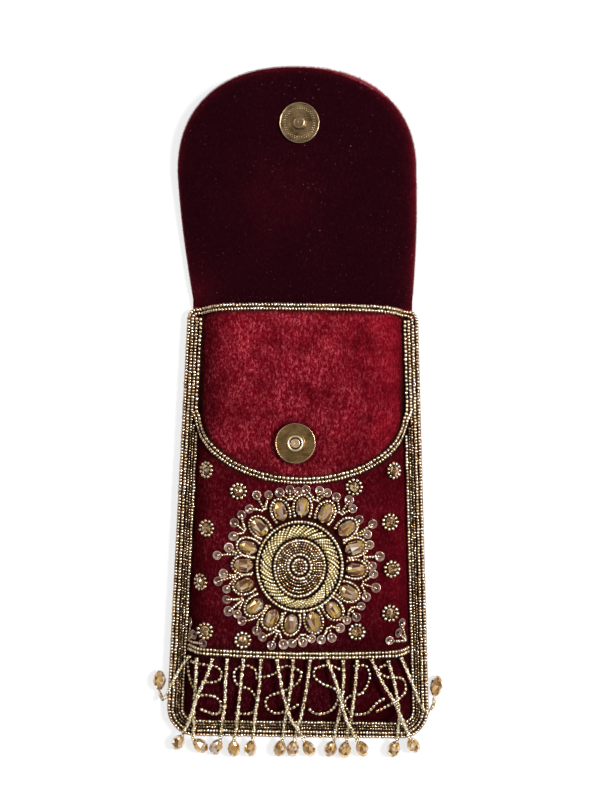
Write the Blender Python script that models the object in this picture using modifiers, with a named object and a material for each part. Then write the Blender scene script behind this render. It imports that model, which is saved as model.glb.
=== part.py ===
"""Beaded velvet phone pouch, lying on its back with its flap folded open.

Metres, +Z up. The origin is the middle of the back panel's underside, +Y runs up the
pouch to the flap, and +X is its right side as it is looked down on.
"""

import math

import bmesh
import bpy
from mathutils import Matrix, Vector

# Outline of the body: the sides open a little towards the foot
TOP_WIDTH = 0.1048
BOTTOM_WIDTH = 0.1200
FOOT_Y = -0.096
RIM_CORNER_Y = 0.0978
RIM_ARCH = 0.0028
RIM_POWER = 4
CORNER_RADIUS = 0.0135

# Layers, from the surface that the pouch lies on upwards
GAP = 0.0003
BACK_THICKNESS = 0.0013
PANEL_THICKNESS = 0.0021
LINING_THICKNESS = 0.0007
SEAM_WIDTH = 0.0084
SHOULDER_WIDTH = 0.010
SHOULDER_POWER = 2.4
PILLOW_RISE = 0.009
LINING_SIDE_ROOM = 0.002
EDGE_SLACK = 0.000005

# Flap, folded back
FLAP_BASE_WIDTH = 0.0998
FLAP_FLARE = 0.0088
FLAP_WIDEST_Y = 0.160
FLAP_TIP_DEPTH = 0.0468
FLAP_ROUNDNESS = 2.3
FLAP_SKEW = 0.0035
FLAP_LIFT = 0.008
FLAP_LIFT_START_Y = 0.115
FACING_INSET = 0.0006
FACING_TUCK = 0.0012
FACING_MOUTH_ROOM = 0.0013
FLAP_NECK_ROOM = 0.002

# Bead rows: distance in from the cloth's edge, and the row's radius
EDGE_ROW = (0.00095, 0.0007)
SECOND_ROW = (0.00285, 0.0006)
OUTER_BRONZE_ROW = (0.00420, 0.00045)
INNER_BRONZE_ROW = (0.00540, 0.00045)
INNER_ROW = (0.00685, 0.0007)
SCALLOP_OUTER_ROW = (0.00450, 0.0006)
SCALLOP_INNER_ROW = (0.00640, 0.0007)
SCALLOP_HALF_WIDTH = 0.0466
SCALLOP_DEPTH = 0.0301
SCALLOP_BOTTOM_Y = 0.0223
SCALLOP_ROW_STEP = 0.0022
BAND_Y = -0.0555
BAND_BOW = 0.0025
BAND_ROW_STEP = 0.0022
BAND_ROW_RADIUS = 0.0007

# Sun medallion
SUN_Y = -0.0168
SUN_STRETCH = 1.05
SUN_TURN_DEG = -3.9
SUN_RING_RADIUS = 0.0190
SUN_ROW_RADIUS = 0.0007
BULLION_RADIUS = 0.0153
BULLION_WIDTH = 0.0052
BULLION_THICKNESS = 0.0018
INNER_RING_RADIUS = 0.0113
BRONZE_FIELD_RADIUS = 0.0083
BRONZE_FIELD_WIDTH = 0.0038
BRONZE_FIELD_THICKNESS = 0.0014
HEART_RING_RADIUS = 0.0054
HEART_RADIUS = 0.0041
HEART_THICKNESS = 0.0016
PETALS = 16
PETAL_INNER_RADIUS = 0.0207
PETAL_OUTER_RADIUS = 0.0296
PETAL_SIDE_ROOM = 0.0003
CRYSTAL_RING_RADIUS = 0.0252
CRYSTAL_LENGTH = 0.0074
CRYSTAL_WIDTH = 0.0058
CRYSTAL_THICKNESS = 0.0036
SEQUIN_RADIUS = 0.0020
SEQUIN_THICKNESS = 0.0010
SPRIG_RADIUS = 0.0005
SPRIG_START = 0.0288
SPRIG_MIDDLE = 0.0332
SPRIG_SIDE = 0.0327
SPRIG_SPREAD_DEG = 6.8

# Small flowers
FLOWER_RADIUS = 0.0035
FLOWER_EYE_RADIUS = 0.0019
FLOWER_THICKNESS = 0.0012

# Scrolls sewn on the lower panel
SCROLL_RADIUS = 0.0007
SCROLL_POINT_STEP = 0.0042

# Fringe
STRAND_RADIUS = 0.00075
STRAND_POINT_STEP = 0.0040
STRAND_SLACK = 0.0001
PLAN_LAYER = 0.001
DROP_LENGTH = 0.0090
DROP_RADIUS = 0.0029
DROP_NECK_RADIUS = 0.0008
DROP_BELLY = 0.0054
DROP_SHOULDER = 0.0078
DROP_SHOULDER_RADIUS = 0.0021

# Magnetic snap
SNAP_X = -0.0026
SNAP_SOCKET_Y = 0.0381
SNAP_STUD_Y = 0.1821
SNAP_RADIUS = 0.0090
SNAP_WALL = 0.0004
SNAP_CASE_HEIGHT = 0.0032
SNAP_HOLE_RADIUS = 0.0031
SNAP_COLLAR_RADIUS = 0.00375
SNAP_COLLAR_HEIGHT = 0.0004
SNAP_CORE_RADIUS = 0.00225
SNAP_CORE_HEIGHT = 0.0004
MAGNET_RADIUS = 0.0080
MAGNET_HOLE_RADIUS = 0.0034
STUD_RADIUS = 0.0029
STUD_HEIGHT = 0.0020
STUD_SHANK_RADIUS = 0.0012
PLATE_HEIGHT = 0.0013
PRONG_THICKNESS = 0.0004
FOOT_THICKNESS = 0.0003
PRONG_WIDTH = 0.0040
PRONG_LEG_X = 0.0040
PRONG_FOOT = 0.0020
WASHER_RADIUS = 0.0065
WASHER_THICKNESS = 0.0003
TURN_STEPS = 20

# Heights that follow from the layers
BACK_TOP = BACK_THICKNESS
FLANGE_TOP = BACK_TOP + GAP + PANEL_THICKNESS
PANEL_TOP = FLANGE_TOP + PILLOW_RISE
LINING_FLOOR = BACK_TOP + GAP + LINING_THICKNESS
LINING_DROP = PANEL_THICKNESS + GAP + LINING_THICKNESS
ROW_TOP = GAP + 2 * EDGE_ROW[1]
FLAP_TIP_Y = FLAP_WIDEST_Y + FLAP_TIP_DEPTH
FLAP_WIDTH = FLAP_BASE_WIDTH + FLAP_FLARE
FLAP_NECK_Y = RIM_CORNER_Y + RIM_ARCH + FLAP_NECK_ROOM

# The size of pouch that the plan points below were measured on, in millimetres
PLAN_WIDTH = 120.0
PLAN_BAND_Y = -57.6
PLAN_FOOT_Y = -96.0
PLAN_RIM_Y = 97.8

# Fringe strands: across, up, and 1 where the strand lies on top of its neighbour.
# The last pair is the direction in which the drop lies.
STRANDS = {
    "a": ([(-48.6, -57.6, 0), (-53.6, -65.3, 0), (-57.6, -72.4, 0), (-59.7, -77.6, 0),
           (-62.0, -79.2, 0), (-63.3, -76.2, 0)], (0.2, 9.6)),
    "b": ([(-38.0, -57.6, 0), (-40.4, -65.1, 0.4), (-43.6, -72.0, 1), (-46.3, -80.0, 1),
           (-49.2, -88.5, 0.8), (-52.3, -95.4, 0)], (-3.7, -6.6)),
    "c": ([(-45.2, -57.6, 0), (-45.5, -68.6, 0), (-46.0, -77.9, 0), (-46.6, -88.0, 0),
           (-47.2, -97.2, 0)], (4.0, -4.4)),
    "d": ([(-31.6, -57.6, 0), (-32.2, -68.4, 0), (-32.4, -78.0, 0), (-33.9, -88.5, 0),
           (-35.0, -97.2, 0)], (-3.1, -6.1)),
    "e": ([(-24.4, -57.6, 0), (-25.6, -70.9, 0), (-27.1, -86.7, 0), (-28.9, -97.4, 0)], (-0.1, -9.6)),
    "f": ([(-16.6, -57.6, 0), (-17.3, -70.8, 0), (-19.1, -84.9, 0), (-20.3, -97.4, 0)], (-2.3, -8.5)),
    "g": ([(-9.6, -57.6, 0), (-7.2, -69.8, 0.7), (-5.0, -77.5, 1), (-2.6, -85.0, 1),
           (0.3, -91.0, 1), (3.4, -97.4, 0.1)], (3.2, -6.8)),
    "h": ([(-2.3, -57.6, 0), (-3.1, -68.9, 0), (-5.2, -83.0, 0), (-7.0, -97.2, 0)], (-1.9, -7.6)),
    "i": ([(5.2, -57.6, 0), (3.7, -70.5, 0), (1.3, -83.8, 0), (-1.4, -97.2, 0)], (-1.2, -7.0)),
    "j": ([(12.8, -57.6, 0), (17.2, -68.6, 0.8), (19.2, -76.0, 1), (21.6, -84.0, 1),
           (24.4, -90.6, 1), (27.6, -97.2, 0.1)], (2.9, -5.8)),
    "k": ([(19.8, -57.6, 0), (20.1, -67.8, 0), (18.5, -81.9, 0), (16.4, -97.2, 0)], (-2.8, -8.4)),
    "l": ([(26.1, -57.6, 0), (25.2, -69.4, 0), (23.7, -84.4, 0), (22.2, -97.4, 0)], (-1.5, -9.4)),
    "m": ([(32.3, -57.0, 0), (37.0, -66.7, 0.5), (42.0, -74.5, 1), (45.6, -82.0, 1),
           (48.4, -89.0, 0.8), (51.0, -95.4, 0)], (3.6, -8.2)),
    "n": ([(39.7, -57.6, 0), (42.8, -68.3, 0), (45.0, -81.5, 0), (45.4, -90.0, 0),
           (45.0, -97.0, 0)], (-2.3, -7.7)),
    "o": ([(45.6, -56.6, 0), (49.4, -65.2, 0), (52.9, -73.6, 0), (55.4, -79.6, 0),
           (58.5, -82.8, 0), (61.4, -80.2, 0), (61.9, -76.8, 0)], (2.0, 8.9)),
}

# Scrolls, drawn by hand on the same plan
SCROLLS = [
    [(-48.5, -60.6), (-37.3, -61.5), (-33.9, -64.9), (-36.4, -68.3), (-43.2, -68.9)],
    [(-43.5, -74.4), (-36.7, -75.2), (-34.1, -79.4), (-36.6, -83.3), (-43.7, -80.8)],
    [(-50.0, -61.2), (-49.4, -66.3), (-47.2, -71.0), (-45.0, -73.2)],
    [(-18.4, -67.4), (-19.2, -62.9), (-23.5, -61.2), (-27.8, -62.8), (-28.6, -67.0), (-26.0, -70.3),
     (-21.7, -71.6), (-18.6, -75.5), (-18.9, -80.6), (-22.5, -83.0), (-28.4, -82.5)],
    [(-16.0, -66.4), (-10.9, -64.6), (-5.8, -61.1), (1.0, -63.6), (-0.6, -68.7), (-6.5, -72.2),
     (-13.3, -74.9), (-14.1, -79.1), (-9.8, -82.5), (-3.0, -79.8), (0.4, -77.7)],
    [(18.9, -62.5), (13.8, -60.5), (7.8, -61.8), (7.0, -65.2), (10.5, -68.6), (16.4, -71.1),
     (17.8, -75.3), (14.9, -80.5), (8.9, -82.7), (4.6, -79.8)],
    [(24.0, -60.8), (29.9, -60.7), (31.7, -65.8), (28.4, -72.6), (22.5, -74.4), (20.8, -77.8),
     (24.3, -82.1), (30.2, -82.0), (34.4, -77.7), (38.6, -74.6)],
    [(41.2, -60.0), (36.7, -60.8), (35.9, -63.4), (40.2, -65.7), (46.2, -66.5), (48.0, -72.4),
     (43.8, -75.9), (34.5, -81.1)],
]

# Small flowers and the sequins at the two ends of the band, across and up on the same plan
FLOWERS = [
    (-41.7, 25.6), (-27.7, 16.4), (-41.3, -0.3), (-43.7, -24.5), (-41.6, -46.0), (-24.9, -49.8),
    (41.1, 26.3), (23.8, 18.9), (39.8, 3.5), (40.8, -17.5), (40.5, -37.1), (25.8, -45.5),
]
CORNER_SEQUINS = [
    (-48.6, -43.8), (-46.9, -48.6), (-42.6, -51.6), (45.9, -42.1), (44.2, -46.0), (40.4, -49.2),
]


def material(name, colour, roughness, metallic=0.0):
    made = bpy.data.materials.new(name)
    made.use_nodes = True
    shader = made.node_tree.nodes["Principled BSDF"]
    shader.inputs["Base Color"].default_value = (*colour, 1.0)
    shader.inputs["Roughness"].default_value = roughness
    shader.inputs["Metallic"].default_value = metallic
    return made


# Outline and surface


def half_width(y):
    """Half the body's width at this height, before its corners are rounded."""
    share = (y - FOOT_Y) / (RIM_CORNER_Y - FOOT_Y)
    return 0.5 * (BOTTOM_WIDTH + (TOP_WIDTH - BOTTOM_WIDTH) * share)


def rim_y(x):
    """The arched mouth edge."""
    return RIM_CORNER_Y + RIM_ARCH * (1 - min(1.0, abs(x) / (TOP_WIDTH / 2)) ** RIM_POWER)


def edge_distance(x, y):
    """How far a point lies in from the body's side and foot edges, negative outside."""
    side = half_width(y) - abs(x)
    foot = y - FOOT_Y
    if side < CORNER_RADIUS and foot < CORNER_RADIUS:
        return CORNER_RADIUS - math.hypot(CORNER_RADIUS - side, CORNER_RADIUS - foot)
    return min(side, foot)


def pillow(distance):
    """Height of the front panel above its flat seam."""
    share = min(1.0, max(0.0, (distance - SEAM_WIDTH) / SHOULDER_WIDTH))
    return PILLOW_RISE * (1 - (1 - share) ** SHOULDER_POWER)


def front_height(x, y):
    """Top of the velvet front, or of the surface beside it."""
    distance = edge_distance(x, y)
    return FLANGE_TOP + pillow(distance) if distance > -EDGE_SLACK else 0.0


def seat_height(x, y, reach):
    """Height of the centre of a ball of this radius that rests on the front at x, y."""
    best = front_height(x, y) + reach
    for ring in (0.3, 0.55, 0.75, 0.9, 0.98):
        rise = reach * math.sqrt(1 - ring * ring)
        for turn in range(12):
            angle = math.tau * turn / 12
            beside_x = x + ring * reach * math.cos(angle)
            beside_y = y + ring * reach * math.sin(angle)
            best = max(best, front_height(beside_x, beside_y) + rise)
    return best


def on_plan(x, y):
    """A point measured in millimetres on the plan, moved with the pouch's own size."""
    across = x / (PLAN_WIDTH / 2) * BOTTOM_WIDTH / 2
    if y > PLAN_BAND_Y:
        share = (y - PLAN_BAND_Y) / (PLAN_RIM_Y - PLAN_BAND_Y)
        return across, band_foot() + share * (RIM_CORNER_Y - band_foot())
    share = (PLAN_BAND_Y - y) / (PLAN_BAND_Y - PLAN_FOOT_Y)
    return across, band_foot() + share * (FOOT_Y - band_foot())


def band_foot():
    """Centre height of the band's lower row, where the fringe starts."""
    return BAND_Y - BAND_ROW_STEP


def smooth_path(points, step):
    """Even points along a smooth curve through the given ones."""
    ends = [points[0] * 2 - points[1], *points, points[-1] * 2 - points[-2]]
    fine = []
    for before, start, end, after in zip(ends, ends[1:], ends[2:], ends[3:]):
        for part in range(12):
            t = part / 12
            fine.append(0.5 * (2 * start + (end - before) * t
                               + (2 * before - 5 * start + 4 * end - after) * t ** 2
                               + (3 * start - before - 3 * end + after) * t ** 3))
    fine.append(points[-1])
    lengths = [0.0]
    for near, far in zip(fine, fine[1:]):
        lengths.append(lengths[-1] + (far - near).length)
    count = max(2, round(lengths[-1] / step))
    path = []
    place = 0
    for number in range(count + 1):
        goal = lengths[-1] * number / count
        while place < len(fine) - 2 and lengths[place + 1] < goal:
            place += 1
        share = (goal - lengths[place]) / (lengths[place + 1] - lengths[place])
        path.append(fine[place].lerp(fine[place + 1], min(1.0, max(0.0, share))))
    return path


# Builders


parts = bpy.data.collections.new("phone_pouch")
cutters = bpy.data.collections.new("cutters")


def add_object(name, data, look):
    made = bpy.data.objects.new(name, data)
    data.materials.append(look)
    parts.objects.link(made)
    return made


def mesh_object(name, mesh_parts, look):
    """Turns a bmesh into a smooth-shaded object."""
    bmesh.ops.recalc_face_normals(mesh_parts, faces=mesh_parts.faces)
    mesh = bpy.data.meshes.new(name)
    mesh_parts.to_mesh(mesh)
    mesh_parts.free()
    mesh.shade_smooth()
    return add_object(name, mesh, look)


def as_tool(made):
    """Keeps an object only as the tool of a Boolean modifier."""
    parts.objects.unlink(made)
    cutters.objects.link(made)
    made.hide_render = True
    made.display_type = "WIRE"
    return made


def cut(target, tool, operation="DIFFERENCE"):
    modifier = target.modifiers.new(tool.name, "BOOLEAN")
    modifier.object = tool
    modifier.operation = operation
    modifier.solver = "EXACT"


def grid_sheet(name, columns, rows, place, look, thickness, direction=-1):
    """A grid bent into a sheet by place(column, row), then given its thickness."""
    sheet = bmesh.new()
    bmesh.ops.create_grid(sheet, x_segments=columns, y_segments=rows, size=1)
    for vertex in sheet.verts:
        column = round((vertex.co.x + 1) / 2 * columns)
        row = round((vertex.co.y + 1) / 2 * rows)
        vertex.co = place(column, row)
    mesh = bpy.data.meshes.new(name)
    sheet.to_mesh(mesh)
    sheet.free()
    mesh.shade_smooth()
    made = add_object(name, mesh, look)
    solid = made.modifiers.new("thickness", "SOLIDIFY")
    solid.thickness = thickness
    solid.offset = direction
    solid.use_even_offset = direction < 0
    return made


def tube(name, points, radius, look, closed=False, sides=6):
    """A bead row or strand as a round tube along its points."""
    curve = bpy.data.curves.new(name, "CURVE")
    curve.dimensions = "3D"
    curve.bevel_depth = radius
    curve.bevel_resolution = (sides - 4) // 2
    curve.use_fill_caps = not closed
    spline = curve.splines.new("POLY")
    spline.points.add(len(points) - 1)
    for target, point in zip(spline.points, points):
        target.co = (*point, 1.0)
    spline.use_cyclic_u = closed
    return add_object(name, curve, look)


def turned(name, profile, look, steps=TURN_STEPS):
    """A turned piece: its profile runs down the outer side, top to bottom."""
    outline = bmesh.new()
    corners = [outline.verts.new((radius, 0, height)) for radius, height in profile]
    for near, far in zip(corners, corners[1:]):
        outline.edges.new((near, far))
    if profile[0][0] > 0:
        outline.edges.new((corners[-1], corners[0]))
    mesh = bpy.data.meshes.new(name)
    outline.to_mesh(mesh)
    outline.free()
    made = add_object(name, mesh, look)
    screw = made.modifiers.new("turn", "SCREW")
    screw.angle = math.tau
    screw.steps = steps
    screw.render_steps = steps
    screw.use_merge_vertices = True
    screw.merge_threshold = 0.00001
    screw.use_smooth_shade = False
    return made


def to_mesh_object(curve_object):
    """A curve made into a closed mesh, so that a Boolean can join it."""
    bpy.context.view_layer.update()
    graph = bpy.context.evaluated_depsgraph_get()
    mesh = bpy.data.meshes.new_from_object(curve_object.evaluated_get(graph))
    closed = bmesh.new()
    closed.from_mesh(mesh)
    bmesh.ops.remove_doubles(closed, verts=closed.verts, dist=0.000001)
    bmesh.ops.recalc_face_normals(closed, faces=closed.faces)
    closed.to_mesh(mesh)
    closed.free()
    made = bpy.data.objects.new(curve_object.name, mesh)
    made.matrix_world = curve_object.matrix_world
    parts.objects.link(made)
    bpy.data.objects.remove(curve_object)
    return made


# Cloth shells


def edge_steps():
    """Distances in from the edge at which the front panel has a line of points."""
    shoulder = [SEAM_WIDTH + SHOULDER_WIDTH * share for share in (0.18, 0.42, 0.7, 1.0)]
    return [0.0, SEAM_WIDTH / 2, SEAM_WIDTH, *shoulder]


def rounded_place(sign, side, foot):
    """A point this far in from the side and the foot, with the corner square bent round."""
    if side < CORNER_RADIUS and foot < CORNER_RADIUS:
        across = CORNER_RADIUS - side
        down = CORNER_RADIUS - foot
        reach = max(across, down)
        if reach > 0:
            turn = math.pi / 4 * min(across, down) / reach
            long_leg = reach * math.cos(turn)
            short_leg = reach * math.sin(turn)
            side = CORNER_RADIUS - (long_leg if across >= down else short_leg)
            foot = CORNER_RADIUS - (short_leg if across >= down else long_leg)
    y = FOOT_Y + foot
    return sign * (half_width(y) - side), y


def body_grid(steps, inner_columns, upper_rows, top_inset, height):
    """Columns, rows and the place function of a sheet over the whole body."""
    edges = len(steps) - 1
    columns = 2 * (edges + inner_columns)
    rows = edges + upper_rows

    def place(column, row):
        from_middle = column - columns // 2
        sign = -1 if from_middle < 0 else 1
        in_from_edge = columns // 2 - abs(from_middle)
        foot = steps[min(row, edges)]
        share = max(0, row - edges) / upper_rows
        if in_from_edge <= edges:
            x, y = rounded_place(sign, steps[in_from_edge], foot)
            inner = 1.0
        else:
            inner = 1 - (in_from_edge - edges) / inner_columns
            x = sign * (half_width(FOOT_Y + foot) - steps[-1]) * inner
            y = FOOT_Y + foot
        if share > 0:
            top = rim_y(x) - top_inset
            y += (top - y) * share
            side = steps[in_from_edge] if in_from_edge <= edges else steps[-1]
            x = sign * (half_width(y) - side) * inner
        return Vector((x, y, height(x, y)))

    return columns, rows, place


def make_front_panel(look):
    columns, rows, place = body_grid(edge_steps(), 4, 9, 0.0, front_height)
    return grid_sheet("front_panel", columns, rows, place, look, PANEL_THICKNESS)


def lining_height(x, y):
    distance = edge_distance(x, y) - LINING_SIDE_ROOM
    return FLANGE_TOP + pillow(distance) - LINING_DROP


def make_pocket_lining(look):
    """A bag of two sheets joined at the sides and foot, open at the mouth."""
    closing_rise = LINING_FLOOR + LINING_DROP - FLANGE_TOP
    closing_share = 1 - (1 - closing_rise / PILLOW_RISE) ** (1 / SHOULDER_POWER)
    seam = SEAM_WIDTH + LINING_SIDE_ROOM + SHOULDER_WIDTH * closing_share
    full = SEAM_WIDTH + LINING_SIDE_ROOM + SHOULDER_WIDTH
    steps = [seam, (2 * seam + full) / 3, full]
    bag = bmesh.new()
    for height in (lining_height, lambda x, y: LINING_FLOOR):
        columns, rows, place = body_grid(steps, 3, 5, FACING_TUCK + GAP, height)
        sheet = bmesh.new()
        bmesh.ops.create_grid(sheet, x_segments=columns, y_segments=rows, size=1)
        for vertex in sheet.verts:
            column = round((vertex.co.x + 1) / 2 * columns)
            row = round((vertex.co.y + 1) / 2 * rows)
            vertex.co = place(column, row)
            on_seam = column in (0, columns) or row == 0
            if on_seam:
                vertex.co.z = LINING_FLOOR
        if height is not lining_height:
            bmesh.ops.reverse_faces(sheet, faces=sheet.faces)
        piece = bpy.data.meshes.new("lining_sheet")
        sheet.to_mesh(piece)
        sheet.free()
        bag.from_mesh(piece)
        bpy.data.meshes.remove(piece)
    bmesh.ops.remove_doubles(bag, verts=bag.verts, dist=0.00001)
    mesh = bpy.data.meshes.new("pocket_lining")
    bag.to_mesh(mesh)
    bag.free()
    mesh.shade_smooth()
    made = add_object("pocket_lining", mesh, look)
    solid = made.modifiers.new("thickness", "SOLIDIFY")
    solid.thickness = LINING_THICKNESS
    solid.offset = 1
    solid.use_even_offset = False
    return made


def flap_lift(y):
    """How far the flap has risen off the surface at this height."""
    share = max(0.0, (y - FLAP_LIFT_START_Y) / (FLAP_TIP_Y - FLAP_LIFT_START_Y))
    return FLAP_LIFT * share ** 2


def flap_place(across, y, inset):
    """A point of the flap at a share of its half width, with its centre line a little askew."""
    neck = RIM_CORNER_Y + RIM_ARCH
    share = min(1.0, max(0.0, (y - neck) / (FLAP_WIDEST_Y - neck)))
    eased = math.sin(math.pi / 2 * share)
    half = 0.5 * (FLAP_BASE_WIDTH + FLAP_FLARE * eased) - inset
    depth = FLAP_TIP_DEPTH - inset
    rounding = max(0.0, (y - FLAP_WIDEST_Y) / depth)
    x = across * half * max(0.0, 1 - rounding ** FLAP_ROUNDNESS) ** (1 / FLAP_ROUNDNESS)
    return x - FLAP_SKEW * share


def tip_y(across_x, inset):
    """Height of the flap's round end over a point near its middle."""
    half = FLAP_WIDTH / 2 - inset
    depth = FLAP_TIP_DEPTH - inset
    return FLAP_WIDEST_Y + depth * (1 - (abs(across_x) / half) ** FLAP_ROUNDNESS) ** (1 / FLAP_ROUNDNESS)


TIP_SHARES = (0.35, 0.62, 0.8, 0.91, 0.97)


def flap_rows(start_y, straight_rows, inset):
    """Heights of the rows of points up the flap, the last one near its tip."""
    depth = FLAP_TIP_DEPTH - inset
    straight = [start_y + (FLAP_WIDEST_Y - start_y) * row / straight_rows for row in range(straight_rows + 1)]
    return straight + [FLAP_WIDEST_Y + depth * share for share in TIP_SHARES]


def flap_point(across, y, inset, level, is_last):
    x = flap_place(across, y, inset)
    if is_last:
        y = tip_y(x + FLAP_SKEW, inset)
    return Vector((x, y, level + flap_lift(y)))


def make_back(look):
    """Back panel and outer flap, one piece of velvet."""
    steps = [0.0, CORNER_RADIUS / 2, CORNER_RADIUS]
    body_rows = 5
    columns, rows, body_place = body_grid(steps, 3, body_rows, 0.0, lambda x, y: BACK_TOP)
    heights = flap_rows(FLAP_NECK_Y, 3, 0.0)

    def place(column, row):
        if row <= rows:
            return body_place(column, row)
        number = row - rows - 1
        across = 2 * column / columns - 1
        return flap_point(across, heights[number], 0.0, BACK_TOP, number == len(heights) - 1)

    return grid_sheet("back_panel_and_flap", columns, rows + len(heights), place, look, BACK_THICKNESS)


def make_flap_facing(look):
    """Inner face of the flap, tucked just inside the mouth."""
    columns = 8
    heights = flap_rows(FLAP_NECK_Y, 3, FACING_INSET)

    def place(column, row):
        across = 2 * column / columns - 1
        if row == 0:
            x = across * (FLAP_BASE_WIDTH / 2 - 2 * SEAM_WIDTH)
            return Vector((x, rim_y(x) - FACING_TUCK, FLANGE_TOP))
        if row == 1:
            x = across * (FLAP_BASE_WIDTH / 2 - FACING_INSET)
            return Vector((x, rim_y(x) + FACING_MOUTH_ROOM, FLANGE_TOP))
        number = row - 2
        return flap_point(across, heights[number], FACING_INSET, FLANGE_TOP, number == len(heights) - 1)

    return grid_sheet("flap_facing", columns, len(heights) + 1, place, look, PANEL_THICKNESS)


# Magnetic snap


def snap_seat(name, x, y, height, tilt):
    """The place of one half of the snap, on top of its cloth."""
    seat = bpy.data.objects.new(name, None)
    seat.location = (x, y, height)
    seat.rotation_euler = (tilt, 0, 0)
    parts.objects.link(seat)
    return seat


def seated(made, seat):
    made.parent = seat
    return made


def box_object(name, size, centre, look):
    block = bmesh.new()
    bmesh.ops.create_cube(block, size=1)
    bmesh.ops.scale(block, vec=size, verts=block.verts)
    bmesh.ops.translate(block, vec=centre, verts=block.verts)
    return mesh_object(name, block, look)


def fit_snap_back(half, seat, cloth, brass):
    """Prongs through the cloth, the washer behind it and the room for both."""
    feet_top = -PANEL_THICKNESS + FOOT_THICKNESS
    washer_low = feet_top + GAP
    washer_top = washer_low + WASHER_THICKNESS
    leg = PRONG_LEG_X + PRONG_THICKNESS / 2
    bar_low = GAP
    bar_top = GAP + PRONG_THICKNESS
    foot = leg + PRONG_FOOT
    inner = leg - PRONG_THICKNESS
    sole = -PANEL_THICKNESS
    outline = [
        (-leg, bar_top), (leg, bar_top), (leg, feet_top), (foot, feet_top), (foot, sole), (inner, sole),
        (inner, bar_low), (-inner, bar_low), (-inner, sole), (-foot, sole), (-foot, feet_top), (-leg, feet_top),
    ]
    strip = bpy.data.curves.new(f"{half}_prongs", "CURVE")
    strip.dimensions = "2D"
    strip.fill_mode = "BOTH"
    strip.extrude = PRONG_WIDTH / 2
    spline = strip.splines.new("POLY")
    spline.points.add(len(outline) - 1)
    for target, (x, z) in zip(spline.points, outline):
        target.co = (x, z, 0.0, 1.0)
    spline.use_cyclic_u = True
    prongs = seated(add_object(f"{half}_prongs", strip, brass), seat)
    prongs.rotation_euler = (math.pi / 2, 0, 0)

    washer = seated(turned(f"{half}_washer", [
        (0, washer_top), (WASHER_RADIUS, washer_top), (WASHER_RADIUS, washer_low), (0, washer_low),
    ], brass), seat)
    slot = (PRONG_THICKNESS + 2 * GAP, PRONG_WIDTH + 2 * GAP, 3 * PANEL_THICKNESS)
    slots = []
    for sign, side in ((-1, "left"), (1, "right")):
        tool = as_tool(seated(box_object(f"{half}_{side}_slot", slot, (sign * PRONG_LEG_X, 0, 0), brass), seat))
        slots.append(tool)
        cut(washer, tool)

    room_top = washer_top + GAP
    room = as_tool(seated(turned(f"{half}_room", [
        (0, room_top), (WASHER_RADIUS + GAP, room_top), (WASHER_RADIUS + GAP, -2 * PANEL_THICKNESS),
        (0, -2 * PANEL_THICKNESS),
    ], brass), seat))
    cut(cloth, room)
    for tool in slots:
        cut(cloth, tool)


def make_socket(cloth, brass, magnet_look):
    """The body's half: a case round a magnet, with the steel core in its middle."""
    seat = snap_seat("body_snap_seat", SNAP_X, SNAP_SOCKET_Y, PANEL_TOP, 0.0)
    fit_snap_back("body_snap", seat, cloth, brass)
    case_low = GAP
    case_top = case_low + SNAP_CASE_HEIGHT
    collar_top = case_top + SNAP_COLLAR_HEIGHT
    ceiling = case_top - SNAP_WALL
    lip = SNAP_RADIUS - 2 * SNAP_WALL
    dish = case_top - SNAP_WALL / 2
    seated(turned("body_snap_case", [
        (SNAP_HOLE_RADIUS, collar_top), (SNAP_COLLAR_RADIUS, collar_top), (SNAP_COLLAR_RADIUS, dish),
        (lip, dish), (lip, case_top), (SNAP_RADIUS - SNAP_WALL / 2, case_top),
        (SNAP_RADIUS, case_top - SNAP_WALL / 2), (SNAP_RADIUS, case_low),
        (SNAP_RADIUS - SNAP_WALL, case_low), (SNAP_RADIUS - SNAP_WALL, ceiling), (SNAP_HOLE_RADIUS, ceiling),
    ], brass), seat)
    base_low = GAP + PRONG_THICKNESS + GAP
    base_top = base_low + SNAP_WALL
    base_radius = SNAP_RADIUS - SNAP_WALL - GAP
    core_top = base_top + SNAP_CORE_HEIGHT
    seated(turned("body_snap_base_and_core", [
        (0, core_top), (SNAP_CORE_RADIUS, core_top), (SNAP_CORE_RADIUS, base_top),
        (base_radius, base_top), (base_radius, base_low), (0, base_low),
    ], brass), seat)
    magnet_low = base_top + GAP
    magnet_top = ceiling - GAP
    seated(turned("body_snap_magnet", [
        (MAGNET_HOLE_RADIUS, magnet_top), (MAGNET_RADIUS, magnet_top), (MAGNET_RADIUS, magnet_low),
        (MAGNET_HOLE_RADIUS, magnet_low),
    ], magnet_look), seat)


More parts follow.
